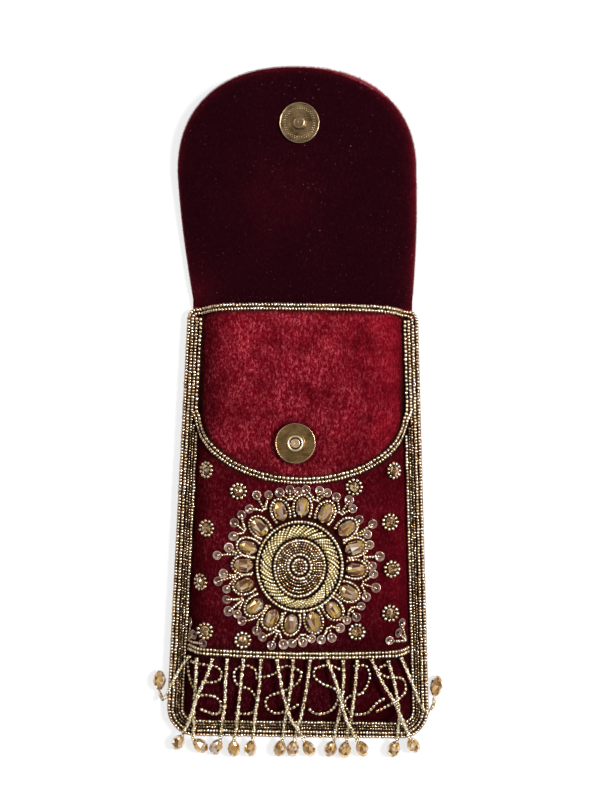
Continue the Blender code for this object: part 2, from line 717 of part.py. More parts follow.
def make_stud(cloth, brass):
    """The flap's half: a thin plate with the stud that enters the socket."""
    slope = 2 * flap_lift(SNAP_STUD_Y) / (SNAP_STUD_Y - FLAP_LIFT_START_Y)
    seat = snap_seat("flap_snap_seat", SNAP_X, SNAP_STUD_Y, FLANGE_TOP + flap_lift(SNAP_STUD_Y), math.atan(slope))
    fit_snap_back("flap_snap", seat, cloth, brass)
    plate_low = GAP
    plate_top = plate_low + PLATE_HEIGHT
    under = GAP + PRONG_THICKNESS + GAP
    lip = SNAP_RADIUS - 2 * SNAP_WALL
    dish = plate_top - SNAP_WALL / 2
    hole = STUD_SHANK_RADIUS + GAP
    seated(turned("flap_snap_plate", [
        (hole, dish), (lip, dish), (lip, plate_top), (SNAP_RADIUS - SNAP_WALL / 2, plate_top),
        (SNAP_RADIUS, plate_top - SNAP_WALL / 2), (SNAP_RADIUS, plate_low),
        (SNAP_RADIUS - SNAP_WALL, plate_low), (SNAP_RADIUS - SNAP_WALL, under), (hole, under),
    ], brass), seat)
    stud_low = dish + GAP
    stud_top = stud_low + STUD_HEIGHT
    seated(turned("flap_snap_stud", [
        (0, stud_top), (STUD_RADIUS - SNAP_WALL, stud_top), (STUD_RADIUS, stud_top - SNAP_WALL),
        (STUD_RADIUS, stud_low), (STUD_SHANK_RADIUS, stud_low), (STUD_SHANK_RADIUS, under), (0, under),
    ], brass), seat)


# Bead rows


def on_front(x, y, radius):
    """Centre of a bead row of this radius lying on the front."""
    return Vector((x, y, seat_height(x, y, radius + GAP)))


def foot_corner(sign, offset):
    """Points round one foot corner, from the foot to the side."""
    radius = CORNER_RADIUS - offset
    centre_y = FOOT_Y + CORNER_RADIUS
    arc = []
    for part in range(7):
        turn = math.pi / 2 * part / 6
        y = centre_y - radius * math.cos(turn)
        x = half_width(y) - CORNER_RADIUS + radius * math.sin(turn)
        arc.append((sign * x, y))
    return arc


def side_and_foot(offset, top_y):
    """Plan points down the left side, along the foot and up the right side."""
    top_x = half_width(top_y) - offset
    left = [(-top_x, top_y)] + foot_corner(-1, offset)[::-1]
    right = foot_corner(1, offset) + [(top_x, top_y)]
    return left + right


def over_rim(offset):
    """Plan points along the mouth, from right to left."""
    end = half_width(RIM_CORNER_Y - offset) - offset
    shares = [0.985, 0.93, 0.87, 0.8, 0.72, 0.62, 0.4, 0.15]
    across = [end * share for share in shares]
    across += [-x for x in across[::-1]]
    return [(x, rim_y(x) - offset) for x in across]


def make_closed_row(name, row, look):
    offset, radius = row
    plan = side_and_foot(offset, RIM_CORNER_Y - offset - 2 * radius) + over_rim(offset)
    tube(name, [on_front(x, y, radius) for x, y in plan], radius, look, closed=True)


def scallop_x(y, step):
    """Half width of the scallop line at this height, step further out than its inner row."""
    centre_y = SCALLOP_BOTTOM_Y + SCALLOP_DEPTH
    share = min(1.0, max(0.0, (centre_y - y) / (SCALLOP_DEPTH + step)))
    return (SCALLOP_HALF_WIDTH + step) * math.sqrt(1 - share ** 2)


def row_start(row):
    """Where a side row can begin below the scallop's outer row."""
    offset, radius = row
    y = SCALLOP_BOTTOM_Y + SCALLOP_DEPTH
    needed = offset + radius + SCALLOP_OUTER_ROW[1] + 2 * GAP
    while half_width(y) - scallop_x(y, SCALLOP_ROW_STEP) < needed:
        y -= 0.0005
    return y


def make_open_row(name, row, look):
    offset, radius = row
    plan = side_and_foot(offset, row_start(row))
    tube(name, [on_front(x, y, radius) for x, y in plan], radius, look)


def make_scallop(name, row, step, look):
    """One row of the line that echoes the flap's round end."""
    offset, radius = row
    top_y = RIM_CORNER_Y - SECOND_ROW[0] - SECOND_ROW[1] - radius - 3 * GAP
    centre_y = SCALLOP_BOTTOM_Y + SCALLOP_DEPTH
    right = [(half_width(top_y) - offset, top_y), (half_width(centre_y) - offset, centre_y)]
    for part in range(2, 13):
        turn = math.pi / 2 * part / 12
        y = centre_y - (SCALLOP_DEPTH + step) * math.sin(turn)
        ellipse = (SCALLOP_HALF_WIDTH + step) * math.cos(turn)
        right.append((ellipse, y))
    plan = right + [(-x, y) for x, y in right[-2::-1]]
    tube(name, [on_front(x, y, radius) for x, y in plan], radius, look)


def band_line_y(x, step):
    return BAND_Y - step + BAND_BOW * (x / (BOTTOM_WIDTH / 2)) ** 2


def make_band_row(name, step, look):
    """One straight row above the fringe, between the inner side rows."""
    end = half_width(BAND_Y - step) - INNER_ROW[0] - INNER_ROW[1] - BAND_ROW_RADIUS - 2 * GAP
    shares = [-1, -0.93, -0.86, -0.78, -0.68, -0.35, 0, 0.35, 0.68, 0.78, 0.86, 0.93, 1]
    points = [on_front(end * share, band_line_y(end * share, step), BAND_ROW_RADIUS) for share in shares]
    tube(name, points, BAND_ROW_RADIUS, look)


# Sun medallion


def sun_point(radius, turn, height):
    return Vector((radius * math.cos(turn), SUN_Y + SUN_STRETCH * radius * math.sin(turn), height))


def petal_turn(number):
    """Direction of one petal: the first stands a little to the right of upright."""
    return math.tau * number / PETALS + math.pi / 2 + math.radians(SUN_TURN_DEG)


def make_sun_ring(name, radius, look, steps=32):
    height = PANEL_TOP + GAP + SUN_ROW_RADIUS
    points = [sun_point(radius, math.tau * part / steps, height) for part in range(steps)]
    tube(name, points, SUN_ROW_RADIUS, look, closed=True)


def make_flat_ring(name, radius, width, thickness, look, steps=32):
    """A low rounded ring of sewn threads or seeds."""
    inner = radius - width / 2
    outer = radius + width / 2
    low = PANEL_TOP + GAP
    top = low + thickness
    made = turned(name, [
        (radius - width * 0.22, top), (radius + width * 0.22, top), (outer, low + thickness * 0.45),
        (outer, low), (inner, low), (inner, low + thickness * 0.45),
    ], look, steps)
    made.location = (0, SUN_Y, 0)
    made.scale = (1, SUN_STRETCH, 1)


def make_sun_heart(look):
    low = PANEL_TOP + GAP
    top = low + HEART_THICKNESS
    made = turned("sun_heart", [
        (0, top), (HEART_RADIUS * 0.6, top - 0.0002), (HEART_RADIUS, low + HEART_THICKNESS / 2),
        (HEART_RADIUS, low), (0, low),
    ], look)
    made.location = (0, SUN_Y, 0)
    made.scale = (1, SUN_STRETCH, 1)


def make_petal_row(look):
    """One bead row in sixteen open arches, each round a crystal."""
    height = PANEL_TOP + GAP + SUN_ROW_RADIUS
    side = CRYSTAL_WIDTH / 2 + PETAL_SIDE_ROOM + SUN_ROW_RADIUS + GAP / 4
    depth = PETAL_OUTER_RADIUS - PETAL_INNER_RADIUS
    half_arch = [
        (PETAL_INNER_RADIUS + 0.18 * depth, side * 0.93), (PETAL_INNER_RADIUS + 0.6 * depth, side),
        (PETAL_INNER_RADIUS + 0.92 * depth, side * 0.64),
    ]
    arch = [(radius, -across) for radius, across in half_arch]
    arch += [(PETAL_OUTER_RADIUS, 0.0)] + half_arch[::-1]
    points = []
    for number in range(PETALS):
        turn = petal_turn(number)
        points.append(sun_point(PETAL_INNER_RADIUS, turn - math.pi / PETALS, height))
        for radius, across in arch:
            points.append(sun_point(radius, turn + across / radius, height))
    tube("sun_petal_row", points, SUN_ROW_RADIUS, look, closed=True)


# Ornaments fused with the velvet that they are sewn to


def sewn_crystal(shape, turn):
    """A faceted crystal with its long axis out from the sun's centre."""
    centre = sun_point(CRYSTAL_RING_RADIUS, turn, PANEL_TOP + CRYSTAL_THICKNESS / 3)
    made = bmesh.ops.create_uvsphere(shape, u_segments=6, v_segments=4, radius=0.5)
    bmesh.ops.scale(shape, vec=(CRYSTAL_LENGTH, CRYSTAL_WIDTH, CRYSTAL_THICKNESS), verts=made["verts"])
    turned_by = math.atan2(SUN_STRETCH * math.sin(turn), math.cos(turn))
    matrix = Matrix.Translation(centre) @ Matrix.Rotation(turned_by, 4, "Z")
    bmesh.ops.transform(shape, matrix=matrix, verts=made["verts"])


def surface_frame(x, y):
    """Place and tilt of something sewn flat on the front at x, y."""
    step = 0.0005
    slope_x = (front_height(x + step, y) - front_height(x - step, y)) / (2 * step)
    slope_y = (front_height(x, y + step) - front_height(x, y - step)) / (2 * step)
    normal = Vector((-slope_x, -slope_y, 1)).normalized()
    turn = Vector((0, 0, 1)).rotation_difference(normal).to_matrix().to_4x4()
    return Matrix.Translation((x, y, front_height(x, y))) @ turn


def sewn_disc(shape, x, y, radius, thickness, sides, top_share=1.0):
    """A low disc half sunk in the velvet."""
    made = bmesh.ops.create_cone(
        shape, cap_ends=True, segments=sides, radius1=radius, radius2=radius * top_share, depth=thickness)
    bmesh.ops.transform(shape, matrix=surface_frame(x, y), verts=made["verts"])


def sewn_bar(shape, start, end, radius):
    """A short four-sided stem between two points on the sun's flat ground."""
    run = end - start
    made = bmesh.ops.create_cone(
        shape, cap_ends=True, segments=4, radius1=radius, radius2=radius, depth=run.length)
    turn = Vector((0, 0, 1)).rotation_difference(run).to_matrix().to_4x4()
    bmesh.ops.transform(shape, matrix=Matrix.Translation((start + end) / 2) @ turn, verts=made["verts"])


def group_tool(name, shapes, look):
    """A set of separate pieces as one Boolean tool."""
    return as_tool(mesh_object(name, shapes, look))


def make_ornaments(panel, crystal_look, gold_look):
    crystals = bmesh.new()
    sequins = bmesh.new()
    stems = bmesh.new()
    stem_height = PANEL_TOP + SPRIG_RADIUS / 4
    for number in range(PETALS):
        turn = petal_turn(number)
        sewn_crystal(crystals, turn)
        between = turn + math.pi / PETALS
        stem_start = sun_point(SPRIG_START, between, stem_height)
        stem_end = sun_point(SPRIG_MIDDLE - SEQUIN_RADIUS / 2, between, stem_height)
        sewn_bar(stems, stem_start, stem_end, SPRIG_RADIUS)
        spread = math.radians(SPRIG_SPREAD_DEG)
        for radius, swing in ((SPRIG_MIDDLE, 0.0), (SPRIG_SIDE, -spread), (SPRIG_SIDE, spread)):
            spot = sun_point(radius, between + swing, 0)
            sewn_disc(sequins, spot.x, spot.y, SEQUIN_RADIUS, SEQUIN_THICKNESS, 6)
    for point in CORNER_SEQUINS:
        x, y = on_plan(*point)
        sewn_disc(sequins, x, y, SEQUIN_RADIUS, SEQUIN_THICKNESS, 6)
    flowers = bmesh.new()
    eyes = bmesh.new()
    for point in FLOWERS:
        x, y = on_plan(*point)
        sewn_disc(flowers, x, y, FLOWER_RADIUS, FLOWER_THICKNESS * 2, 8, 0.85)
        sewn_disc(eyes, x, y, FLOWER_EYE_RADIUS, FLOWER_THICKNESS * 3.4, 6, 0.6)
    for name, shapes, look in (
            ("sun_crystals", crystals, crystal_look), ("sprig_stems", stems, gold_look),
            ("sequins", sequins, gold_look), ("flowers", flowers, gold_look), ("flower_eyes", eyes, crystal_look)):
        cut(panel, group_tool(name, shapes, look), "UNION")
    scrolls = bmesh.new()
    for number, line in enumerate(SCROLLS):
        spots = [Vector((*on_plan(x, y), 0)) for x, y in line]
        path = smooth_path(spots, SCROLL_POINT_STEP)
        for spot in path:
            spot.z = front_height(spot.x, spot.y) + SCROLL_RADIUS / 4
        made = to_mesh_object(tube(f"scroll_{number}", path, SCROLL_RADIUS, gold_look, sides=4))
        scrolls.from_mesh(made.data)
        bpy.data.objects.remove(made)
    cut(panel, group_tool("scrolls", scrolls, gold_look), "UNION")


# Fringe


def strand_path(plan):
    """The strand's line over the scrolls, the shoulder and the foot, down to the surface."""
    reach = STRAND_RADIUS + ROW_TOP + GAP + STRAND_SLACK
    step_up = 2 * STRAND_RADIUS + 3 * GAP
    guide = []
    for x, y, layer in plan:
        guide.append(Vector((*on_plan(x, y), layer * PLAN_LAYER)))
    path = smooth_path(guide, STRAND_POINT_STEP)
    for spot in path:
        layer = max(0.0, spot.z / PLAN_LAYER)
        spot.z = seat_height(spot.x, spot.y, reach) + layer * step_up
    return path


def make_drop(name, path, heading, look):
    """A faceted drop that hangs from the strand's end and lies on the surface."""
    start = path[-1]
    direction = Vector((*heading, 0)).normalized()
    belly = start + direction * DROP_BELLY * 0.86
    belly.z = max(DROP_RADIUS + GAP, seat_height(belly.x, belly.y, DROP_RADIUS + GAP))
    run = (belly - start).normalized()
    outline = [(DROP_RADIUS, DROP_BELLY), (DROP_SHOULDER_RADIUS, DROP_SHOULDER), (DROP_NECK_RADIUS, DROP_LENGTH)]
    lowest = max((radius + GAP - start.z) / along for radius, along in outline)
    if run.z < lowest:
        flat = Vector((run.x, run.y, 0)).normalized() * math.sqrt(1 - lowest ** 2)
        run = Vector((flat.x, flat.y, lowest))
    made = turned(name, [
        (0, DROP_LENGTH), (DROP_NECK_RADIUS, DROP_LENGTH), (DROP_SHOULDER_RADIUS, DROP_SHOULDER),
        (DROP_RADIUS, DROP_BELLY), (DROP_NECK_RADIUS, 0), (0, 0),
    ], look, 8)
    bend = run.angle(start - path[-2])
    made.location = start + run * (GAP + STRAND_RADIUS * math.sin(bend))
    made.rotation_mode = "QUATERNION"
    made.rotation_quaternion = Vector((0, 0, 1)).rotation_difference(run)


def make_fringe(strand_look, drop_look):
    for letter, (plan, heading) in STRANDS.items():
        path = strand_path(plan)
        tube(f"fringe_strand_{letter}", path, STRAND_RADIUS, strand_look, sides=8)
        make_drop(f"fringe_drop_{letter}", path, heading, drop_look)


def main():
    for old in list(bpy.data.objects):
        bpy.data.objects.remove(old)
    bpy.context.scene.collection.children.link(parts)
    bpy.context.scene.collection.children.link(cutters)

    velvet = material("crimson_velvet", (0.25, 0.008, 0.02), 0.85)
    dark_velvet = material("dark_velvet", (0.06, 0.002, 0.012), 0.9)
    satin = material("lining_satin", (0.16, 0.01, 0.02), 0.5)
    gold = material("champagne_gold_beads", (0.62, 0.47, 0.25), 0.3, 0.9)
    bronze = material("bronze_beads", (0.24, 0.13, 0.05), 0.3, 0.9)
    bullion = material("bullion_thread", (0.66, 0.58, 0.34), 0.35, 0.8)
    amber = material("amber_crystal", (0.55, 0.3, 0.1), 0.08, 0.1)
    brass = material("antique_brass", (0.36, 0.29, 0.15), 0.35, 1.0)
    magnet = material("magnet", (0.08, 0.08, 0.08), 0.6)

    panel = make_front_panel(velvet)
    make_back(velvet)
    facing = make_flap_facing(dark_velvet)
    make_pocket_lining(satin)
    make_socket(panel, brass, magnet)
    make_stud(facing, brass)
    make_ornaments(panel, amber, gold)

    make_closed_row("edge_bead_row", EDGE_ROW, gold)
    make_closed_row("second_bead_row", SECOND_ROW, gold)
    make_open_row("outer_bronze_row", OUTER_BRONZE_ROW, bronze)
    make_open_row("inner_bronze_row", INNER_BRONZE_ROW, bronze)
    make_open_row("inner_bead_row", INNER_ROW, gold)
    make_scallop("scallop_outer_row", SCALLOP_OUTER_ROW, SCALLOP_ROW_STEP, gold)
    make_scallop("scallop_inner_row", SCALLOP_INNER_ROW, 0.0, gold)
    make_band_row("band_upper_row", 0.0, gold)
    make_band_row("band_lower_row", BAND_ROW_STEP, gold)

    make_sun_ring("sun_outer_ring", SUN_RING_RADIUS, gold)
    make_flat_ring("sun_bullion_ring", BULLION_RADIUS, BULLION_WIDTH, BULLION_THICKNESS, bullion)
    make_sun_ring("sun_inner_ring", INNER_RING_RADIUS, gold, 24)
    make_flat_ring("sun_bronze_field", BRONZE_FIELD_RADIUS, BRONZE_FIELD_WIDTH, BRONZE_FIELD_THICKNESS, bronze, 24)
    make_sun_ring("sun_heart_ring", HEART_RING_RADIUS, gold, 16)
    make_sun_heart(bronze)
    make_petal_row(gold)
    make_fringe(gold, amber)


main()
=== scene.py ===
import math

import bpy
import numpy as np
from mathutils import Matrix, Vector


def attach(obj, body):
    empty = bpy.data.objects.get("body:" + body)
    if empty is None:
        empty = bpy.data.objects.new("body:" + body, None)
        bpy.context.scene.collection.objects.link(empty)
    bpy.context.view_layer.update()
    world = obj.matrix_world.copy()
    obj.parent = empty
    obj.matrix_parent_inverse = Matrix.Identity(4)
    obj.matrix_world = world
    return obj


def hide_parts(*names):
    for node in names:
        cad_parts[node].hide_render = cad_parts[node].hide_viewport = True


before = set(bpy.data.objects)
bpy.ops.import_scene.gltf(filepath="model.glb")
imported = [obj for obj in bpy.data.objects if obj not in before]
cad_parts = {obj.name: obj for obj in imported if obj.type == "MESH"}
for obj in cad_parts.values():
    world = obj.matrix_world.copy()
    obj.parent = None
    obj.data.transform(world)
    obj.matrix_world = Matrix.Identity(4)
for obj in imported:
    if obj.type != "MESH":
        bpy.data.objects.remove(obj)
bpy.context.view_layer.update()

rng = np.random.default_rng(7)

# Sizes repeated from the model, in metres
TOP_WIDTH = 0.1048
BOTTOM_WIDTH = 0.1200
FOOT_Y = -0.096
RIM_CORNER_Y = 0.0978
RIM_ARCH = 0.0028
RIM_POWER = 4
RIM_CORNER_RADIUS = 0.0033
CORNER_RADIUS = 0.0135
GAP = 0.0003
PANEL_THICKNESS = 0.0021
SEAM_WIDTH = 0.0084
SHOULDER_WIDTH = 0.010
SHOULDER_POWER = 2.4
PILLOW_RISE = 0.009
BACK_TOP = 0.0013
FLANGE_TOP = 0.0037
PANEL_TOP = FLANGE_TOP + PILLOW_RISE
LINING_FLOOR = 0.0023
LINING_DROP = 0.0031
LINING_SIDE_ROOM = 0.002
LINING_THICKNESS = 0.0007
FLAP_BASE_WIDTH = 0.0998
FLAP_FLARE = 0.0088
FLAP_WIDEST_Y = 0.160
FLAP_TIP_DEPTH = 0.0468
FLAP_ROUNDNESS = 2.3
FLAP_SKEW = 0.0035
FLAP_LIFT = 0.008
FLAP_LIFT_START_Y = 0.115
FACING_TUCK = 0.0012
FACING_INSET = 0.0007
FACING_MOUTH_ROOM = 0.0013
FLAP_NECK_Y = 0.1026
SCALLOP_HALF_WIDTH = 0.0466
SCALLOP_DEPTH = 0.0301
SCALLOP_BOTTOM_Y = 0.0223
SCALLOP_CENTRE_Y = SCALLOP_BOTTOM_Y + SCALLOP_DEPTH
SCALLOP_ROW_STEP = 0.0018
SCALLOP_BEAD_ROOM = 0.0008
SCALLOP_TOP_INSET = 0.0035
BAND_Y = -0.0555
BAND_BOW = 0.0025
BAND_ROW_STEP = 0.0018
SUN_Y = -0.0168
SUN_STRETCH = 1.05
SUN_RING_RADIUS = 0.0190
BULLION_RADIUS = 0.0151
INNER_RING_RADIUS = 0.0111
HEART_RING_RADIUS = 0.0052
PETAL_HALF_WIDTH = 0.0037
SPRIG_ROOT = 0.0284
EGG_TURN = math.radians(-99)
EGG_SHARE = 0.14
SNAP_X = -0.0026
SNAP_SOCKET_Y = 0.0381
SNAP_STUD_Y = 0.1821
STRAND_RADIUS = 0.00075
STRAND_SLACK = 0.0001
ROW_TOP = 0.0017
DROP_LENGTH = 0.0090
DROP_RADIUS = 0.0029
DROP_BELLY = 0.0054
DROP_SHOULDER = 0.0078
DROP_SHOULDER_RADIUS = 0.0021
DROP_NECK_RADIUS = 0.0008

# Bead radii and pitches, in metres
ROW_BEAD = 0.00084
ROW_PITCH = 0.00142
RING_BEAD = 0.00086
RING_PITCH = 0.00145
FINE_PITCH = 0.00118
THREAD_SCATTER = 0.00007

FINE_BEAD = 0.00055
STEM_BEAD = 0.00074
STEM_PITCH = 0.00122
SEQUIN_RADIUS = 0.00205
TWIST_BEAD = 0.00060
TWIST_PITCH = 0.00104
TWIST_RADIUS = 0.00036
TWIST_TURN = 0.95
PILE_PITCH = 0.00007
PILE_WIDTH = 0.00010

FLOOR_GLOW = 0.75
WORLD_STRENGTH = 0.54
WORLD_STOPS = [(5, 220, 220, 215.6), (95, 1000, 1000, 980)]
CAMERA_PLACE = (-0.0008, 0.0573, 0.45)
CAMERA_TURN = math.radians(0.72)
CAMERA_LENS = 44.13
UP = np.array([0.0, 0.0, 1.0])

# Each strand's points in plan millimetres, with its layer where it crosses another, and its drop's direction
STRANDS = {
    "a": ([(-48.6, -57.6), (-53.6, -65.3), (-57.6, -72.4), (-59.7, -77.6), (-62.0, -79.2), (-63.3, -76.2)],
           (0.2, 9.6)),
    "b": ([(-38.0, -57.6), (-40.4, -65.1, 0.4), (-43.6, -72.0, 1), (-46.3, -80.0, 1), (-49.2, -88.5, 0.8),
           (-52.3, -95.4)], (-3.7, -6.6)),
    "c": ([(-45.2, -57.6), (-45.5, -68.6), (-46.0, -77.9), (-46.6, -88.0), (-47.2, -97.2)], (4.0, -4.4)),
    "d": ([(-31.6, -57.6), (-32.2, -68.4), (-32.4, -78.0), (-33.9, -88.5), (-35.0, -97.2)], (-3.1, -6.1)),
    "e": ([(-24.4, -57.6), (-25.6, -70.9), (-27.1, -86.7), (-28.9, -97.4)], (-0.1, -9.6)),
    "f": ([(-16.6, -57.6), (-17.3, -70.8), (-19.1, -84.9), (-20.3, -97.4)], (-2.3, -8.5)),
    "g": ([(-9.6, -57.6), (-7.2, -69.8, 0.7), (-5.0, -77.5, 1), (-2.6, -85.0, 1), (0.3, -91.0, 1),
           (3.4, -97.4, 0.1)], (3.2, -6.8)),
    "h": ([(-2.3, -57.6), (-3.1, -68.9), (-5.2, -83.0), (-7.0, -97.2)], (-1.9, -7.6)),
    "i": ([(5.2, -57.6), (3.7, -70.5), (1.3, -83.8), (-1.4, -97.2)], (-1.2, -7.0)),
    "j": ([(12.8, -57.6), (17.2, -68.6, 0.8), (19.2, -76.0, 1), (21.6, -84.0, 1), (24.4, -90.6, 1),
           (27.6, -97.2, 0.1)], (2.9, -5.8)),
    "k": ([(19.8, -57.6), (20.1, -67.8), (18.5, -81.9), (16.4, -97.2)], (-2.8, -8.4)),
    "l": ([(26.1, -57.6), (25.2, -69.4), (23.7, -84.4), (22.2, -97.4)], (-1.5, -9.4)),
    "m": ([(32.3, -57.0), (37.0, -66.7, 0.5), (42.0, -74.5, 1), (45.6, -82.0, 1), (48.4, -89.0, 0.8),
           (51.0, -95.4)], (3.6, -8.2)),
    "n": ([(39.7, -57.6), (42.8, -68.3), (45.0, -81.5), (45.4, -90.0), (45.0, -97.0)], (-2.3, -7.7)),
    "o": ([(45.6, -56.6), (49.4, -65.2), (52.9, -73.6), (55.4, -79.6), (58.5, -82.8), (61.4, -80.2),
           (61.9, -76.8)], (2.0, 8.9)),
}
# Lines and places on the front, in plan millimetres
SCROLLS = [
    [(-48.5, -60.6), (-37.3, -61.5), (-33.9, -64.9), (-36.4, -68.3), (-43.2, -68.9)],
    [(-43.5, -74.4), (-36.7, -75.2), (-34.1, -79.4), (-36.6, -83.3), (-43.7, -80.8)],
    [(-50.0, -61.2), (-49.4, -66.3), (-47.2, -71.0), (-45.0, -73.2)],
    [(-18.4, -67.4), (-19.2, -62.9), (-23.5, -61.2), (-27.8, -62.8), (-28.6, -67.0), (-26.0, -70.3),
     (-21.7, -71.6), (-18.6, -75.5), (-18.9, -80.6), (-22.5, -83.0), (-28.4, -82.5)],
    [(-16.0, -66.4), (-10.9, -64.6), (-5.8, -61.1), (1.0, -63.6), (-0.6, -68.7), (-6.5, -72.2),
     (-13.3, -74.9), (-14.1, -79.1), (-9.8, -82.5), (-3.0, -79.8), (0.4, -77.7)],
    [(18.9, -62.5), (13.8, -60.5), (7.8, -61.8), (7.0, -65.2), (10.5, -68.6), (16.4, -71.1),
     (17.8, -75.3), (14.9, -80.5), (8.9, -82.7), (4.6, -79.8)],
    [(24.0, -60.8), (29.9, -60.7), (31.7, -65.8), (28.4, -72.6), (22.5, -74.4), (20.8, -77.8),
     (24.3, -82.1), (30.2, -82.0), (34.4, -77.7), (38.6, -74.6)],
    [(41.2, -60.0), (36.7, -60.8), (35.9, -63.4), (40.2, -65.7), (46.2, -66.5), (48.0, -72.4),
     (43.8, -75.9), (34.5, -81.1)],
]
FLOWERS = [
    (-41.7, 25.6), (-27.7, 16.4), (-41.3, -0.3), (-43.7, -24.5), (-41.6, -46.0), (-24.9, -49.8),
    (41.1, 26.3), (23.8, 18.9), (39.8, 3.5), (40.8, -17.5), (40.5, -37.1), (25.8, -45.5),
]
# Crystals and sequins about the sun: degrees clockwise from upright, millimetres from its centre
CRYSTALS = [
    (2, 26.6), (25, 26.6), (50, 26.9), (70, 25.9), (92, 24.9), (117, 24.5), (141, 24.2), (165, 25.2),
    (188, 25.5), (208, 26.0), (228, 26.4), (251, 25.8), (271, 25.0), (290, 24.5), (314, 25.1), (340, 26.2),
]
SEQUINS = [
    (328, 37.1), (336, 34.7), (344, 34.0), (352, 34.4), (358, 33.4), (4, 34.4), (14, 34.9), (20, 35.0),
    (27, 35.0), (36, 36.8), (42, 35.0), (51, 33.8), (59, 37.6), (64, 33.4), (72, 32.6), (82, 35.9),
    (89, 32.2), (95, 33.0), (105, 35.2), (114, 32.6), (122, 32.6), (131, 33.9), (138, 31.9), (146, 32.8),
    (155, 34.9), (163, 33.9), (170, 32.6), (177, 33.9), (185, 34.2), (191, 35.4), (199, 37.4), (207, 35.4),
    (213, 34.4), (226, 35.4), (232, 34.9), (237, 37.4), (245, 35.6), (252, 34.1), (259, 37.0), (264, 34.1),
    (277, 37.0), (284, 32.8), (294, 32.6), (303, 35.0), (311, 34.7), (318, 34.1),
]
CORNER_SPRAYS = [
    ((-50.0, -52.4), [(-48.6, -43.8), (-46.9, -48.6), (-42.6, -51.6)]),
    ((48.2, -50.4), [(45.9, -42.1), (44.2, -46.0), (40.4, -49.2)]),
]


# Shader building


class Wire:
    """A shader value that takes part in Python arithmetic."""

    def __init__(self, look, socket):
        self.look = look
        self.socket = socket

    def maths(self, operation, other):
        return self.look.node("ShaderNodeMath", {0: self, 1: other}, operation=operation)

    def __add__(self, other):
        return self.maths("ADD", other)

    __radd__ = __add__

    def __sub__(self, other):
        return self.maths("SUBTRACT", other)

    def __mul__(self, other):
        return self.maths("MULTIPLY", other)

    __rmul__ = __mul__


class Look:
    """The node tree of a material, or of the world, with its nodes made by name."""

    def __init__(self, name, owners=bpy.data.materials, shader="Principled BSDF", **values):
        self.owner = owners.new(name)
        self.owner.use_nodes = True
        self.tree = self.owner.node_tree
        self.shader = self.tree.nodes[shader]
        self.surface(**values)

    def feed(self, socket, value):
        if isinstance(value, Wire):
            self.tree.links.new(value.socket, socket)
        else:
            socket.default_value = value

    def node(self, kind, inputs=(), output=0, **settings):
        made = self.tree.nodes.new(kind)
        for name, value in settings.items():
            setattr(made, name, value)
        for name, value in dict(inputs).items():
            self.feed(made.inputs[name], value)
        return Wire(self, made.outputs[output])

    def surface(self, **links):
        for socket, value in links.items():
            self.feed(self.shader.inputs[socket.replace("_", " ")], value)

    def share_surface(self, output, factor, other):
        """Leads the shader and another one, by a factor, to the output."""
        own = Wire(self, self.shader.outputs[0])
        both = self.node("ShaderNodeMixShader", {0: factor, 1: own, 2: other})
        self.feed(self.tree.nodes[output].inputs["Surface"], both)

    def place(self, scale=(1, 1, 1)):
        """Object coordinates, stretched."""
        spot = self.node("ShaderNodeTexCoord", output=3)
        return self.node("ShaderNodeMapping", {"Vector": spot, "Scale": scale})

    def noise(self, size, detail=2.0, roughness=0.5, stretch=(1, 1, 1)):
        """Noise with features of this size in metres."""
        return self.node("ShaderNodeTexNoise", {
            "Vector": self.place(stretch), "Scale": 1 / size, "Detail": detail, "Roughness": roughness})

    def attribute(self, name):
        return self.node("ShaderNodeAttribute", output=2, attribute_name=name)

    def ramp(self, factor, stops):
        """Colours along a factor: each stop is its place in hundredths, then its colour in thousandths."""
        made = self.node("ShaderNodeValToRGB", {"Fac": factor})
        elements = made.socket.node.color_ramp.elements
        while len(elements) < len(stops):
            elements.new(0.5)
        for element, (position, *colour) in zip(elements, stops):
            element.position = position / 100
            element.color = (*[part / 1000 for part in colour], 1.0)
        return made

    def level(self, value, low, high):
        """Value taken from low..high to 0..1, held at the ends."""
        return self.node("ShaderNodeMapRange", {0: value, 1: low, 2: high, 3: 0.0, 4: 1.0}, clamp=True)

    def mix(self, factor, first, second):
        return self.node("ShaderNodeMix", {0: factor, 6: first, 7: second}, output=2, data_type="RGBA")

    def bump(self, height, strength, distance):
        return self.node("ShaderNodeBump", {"Height": height, "Strength": strength, "Distance": distance})


def rgba(red, green, blue):
    return (red, green, blue, 1.0)


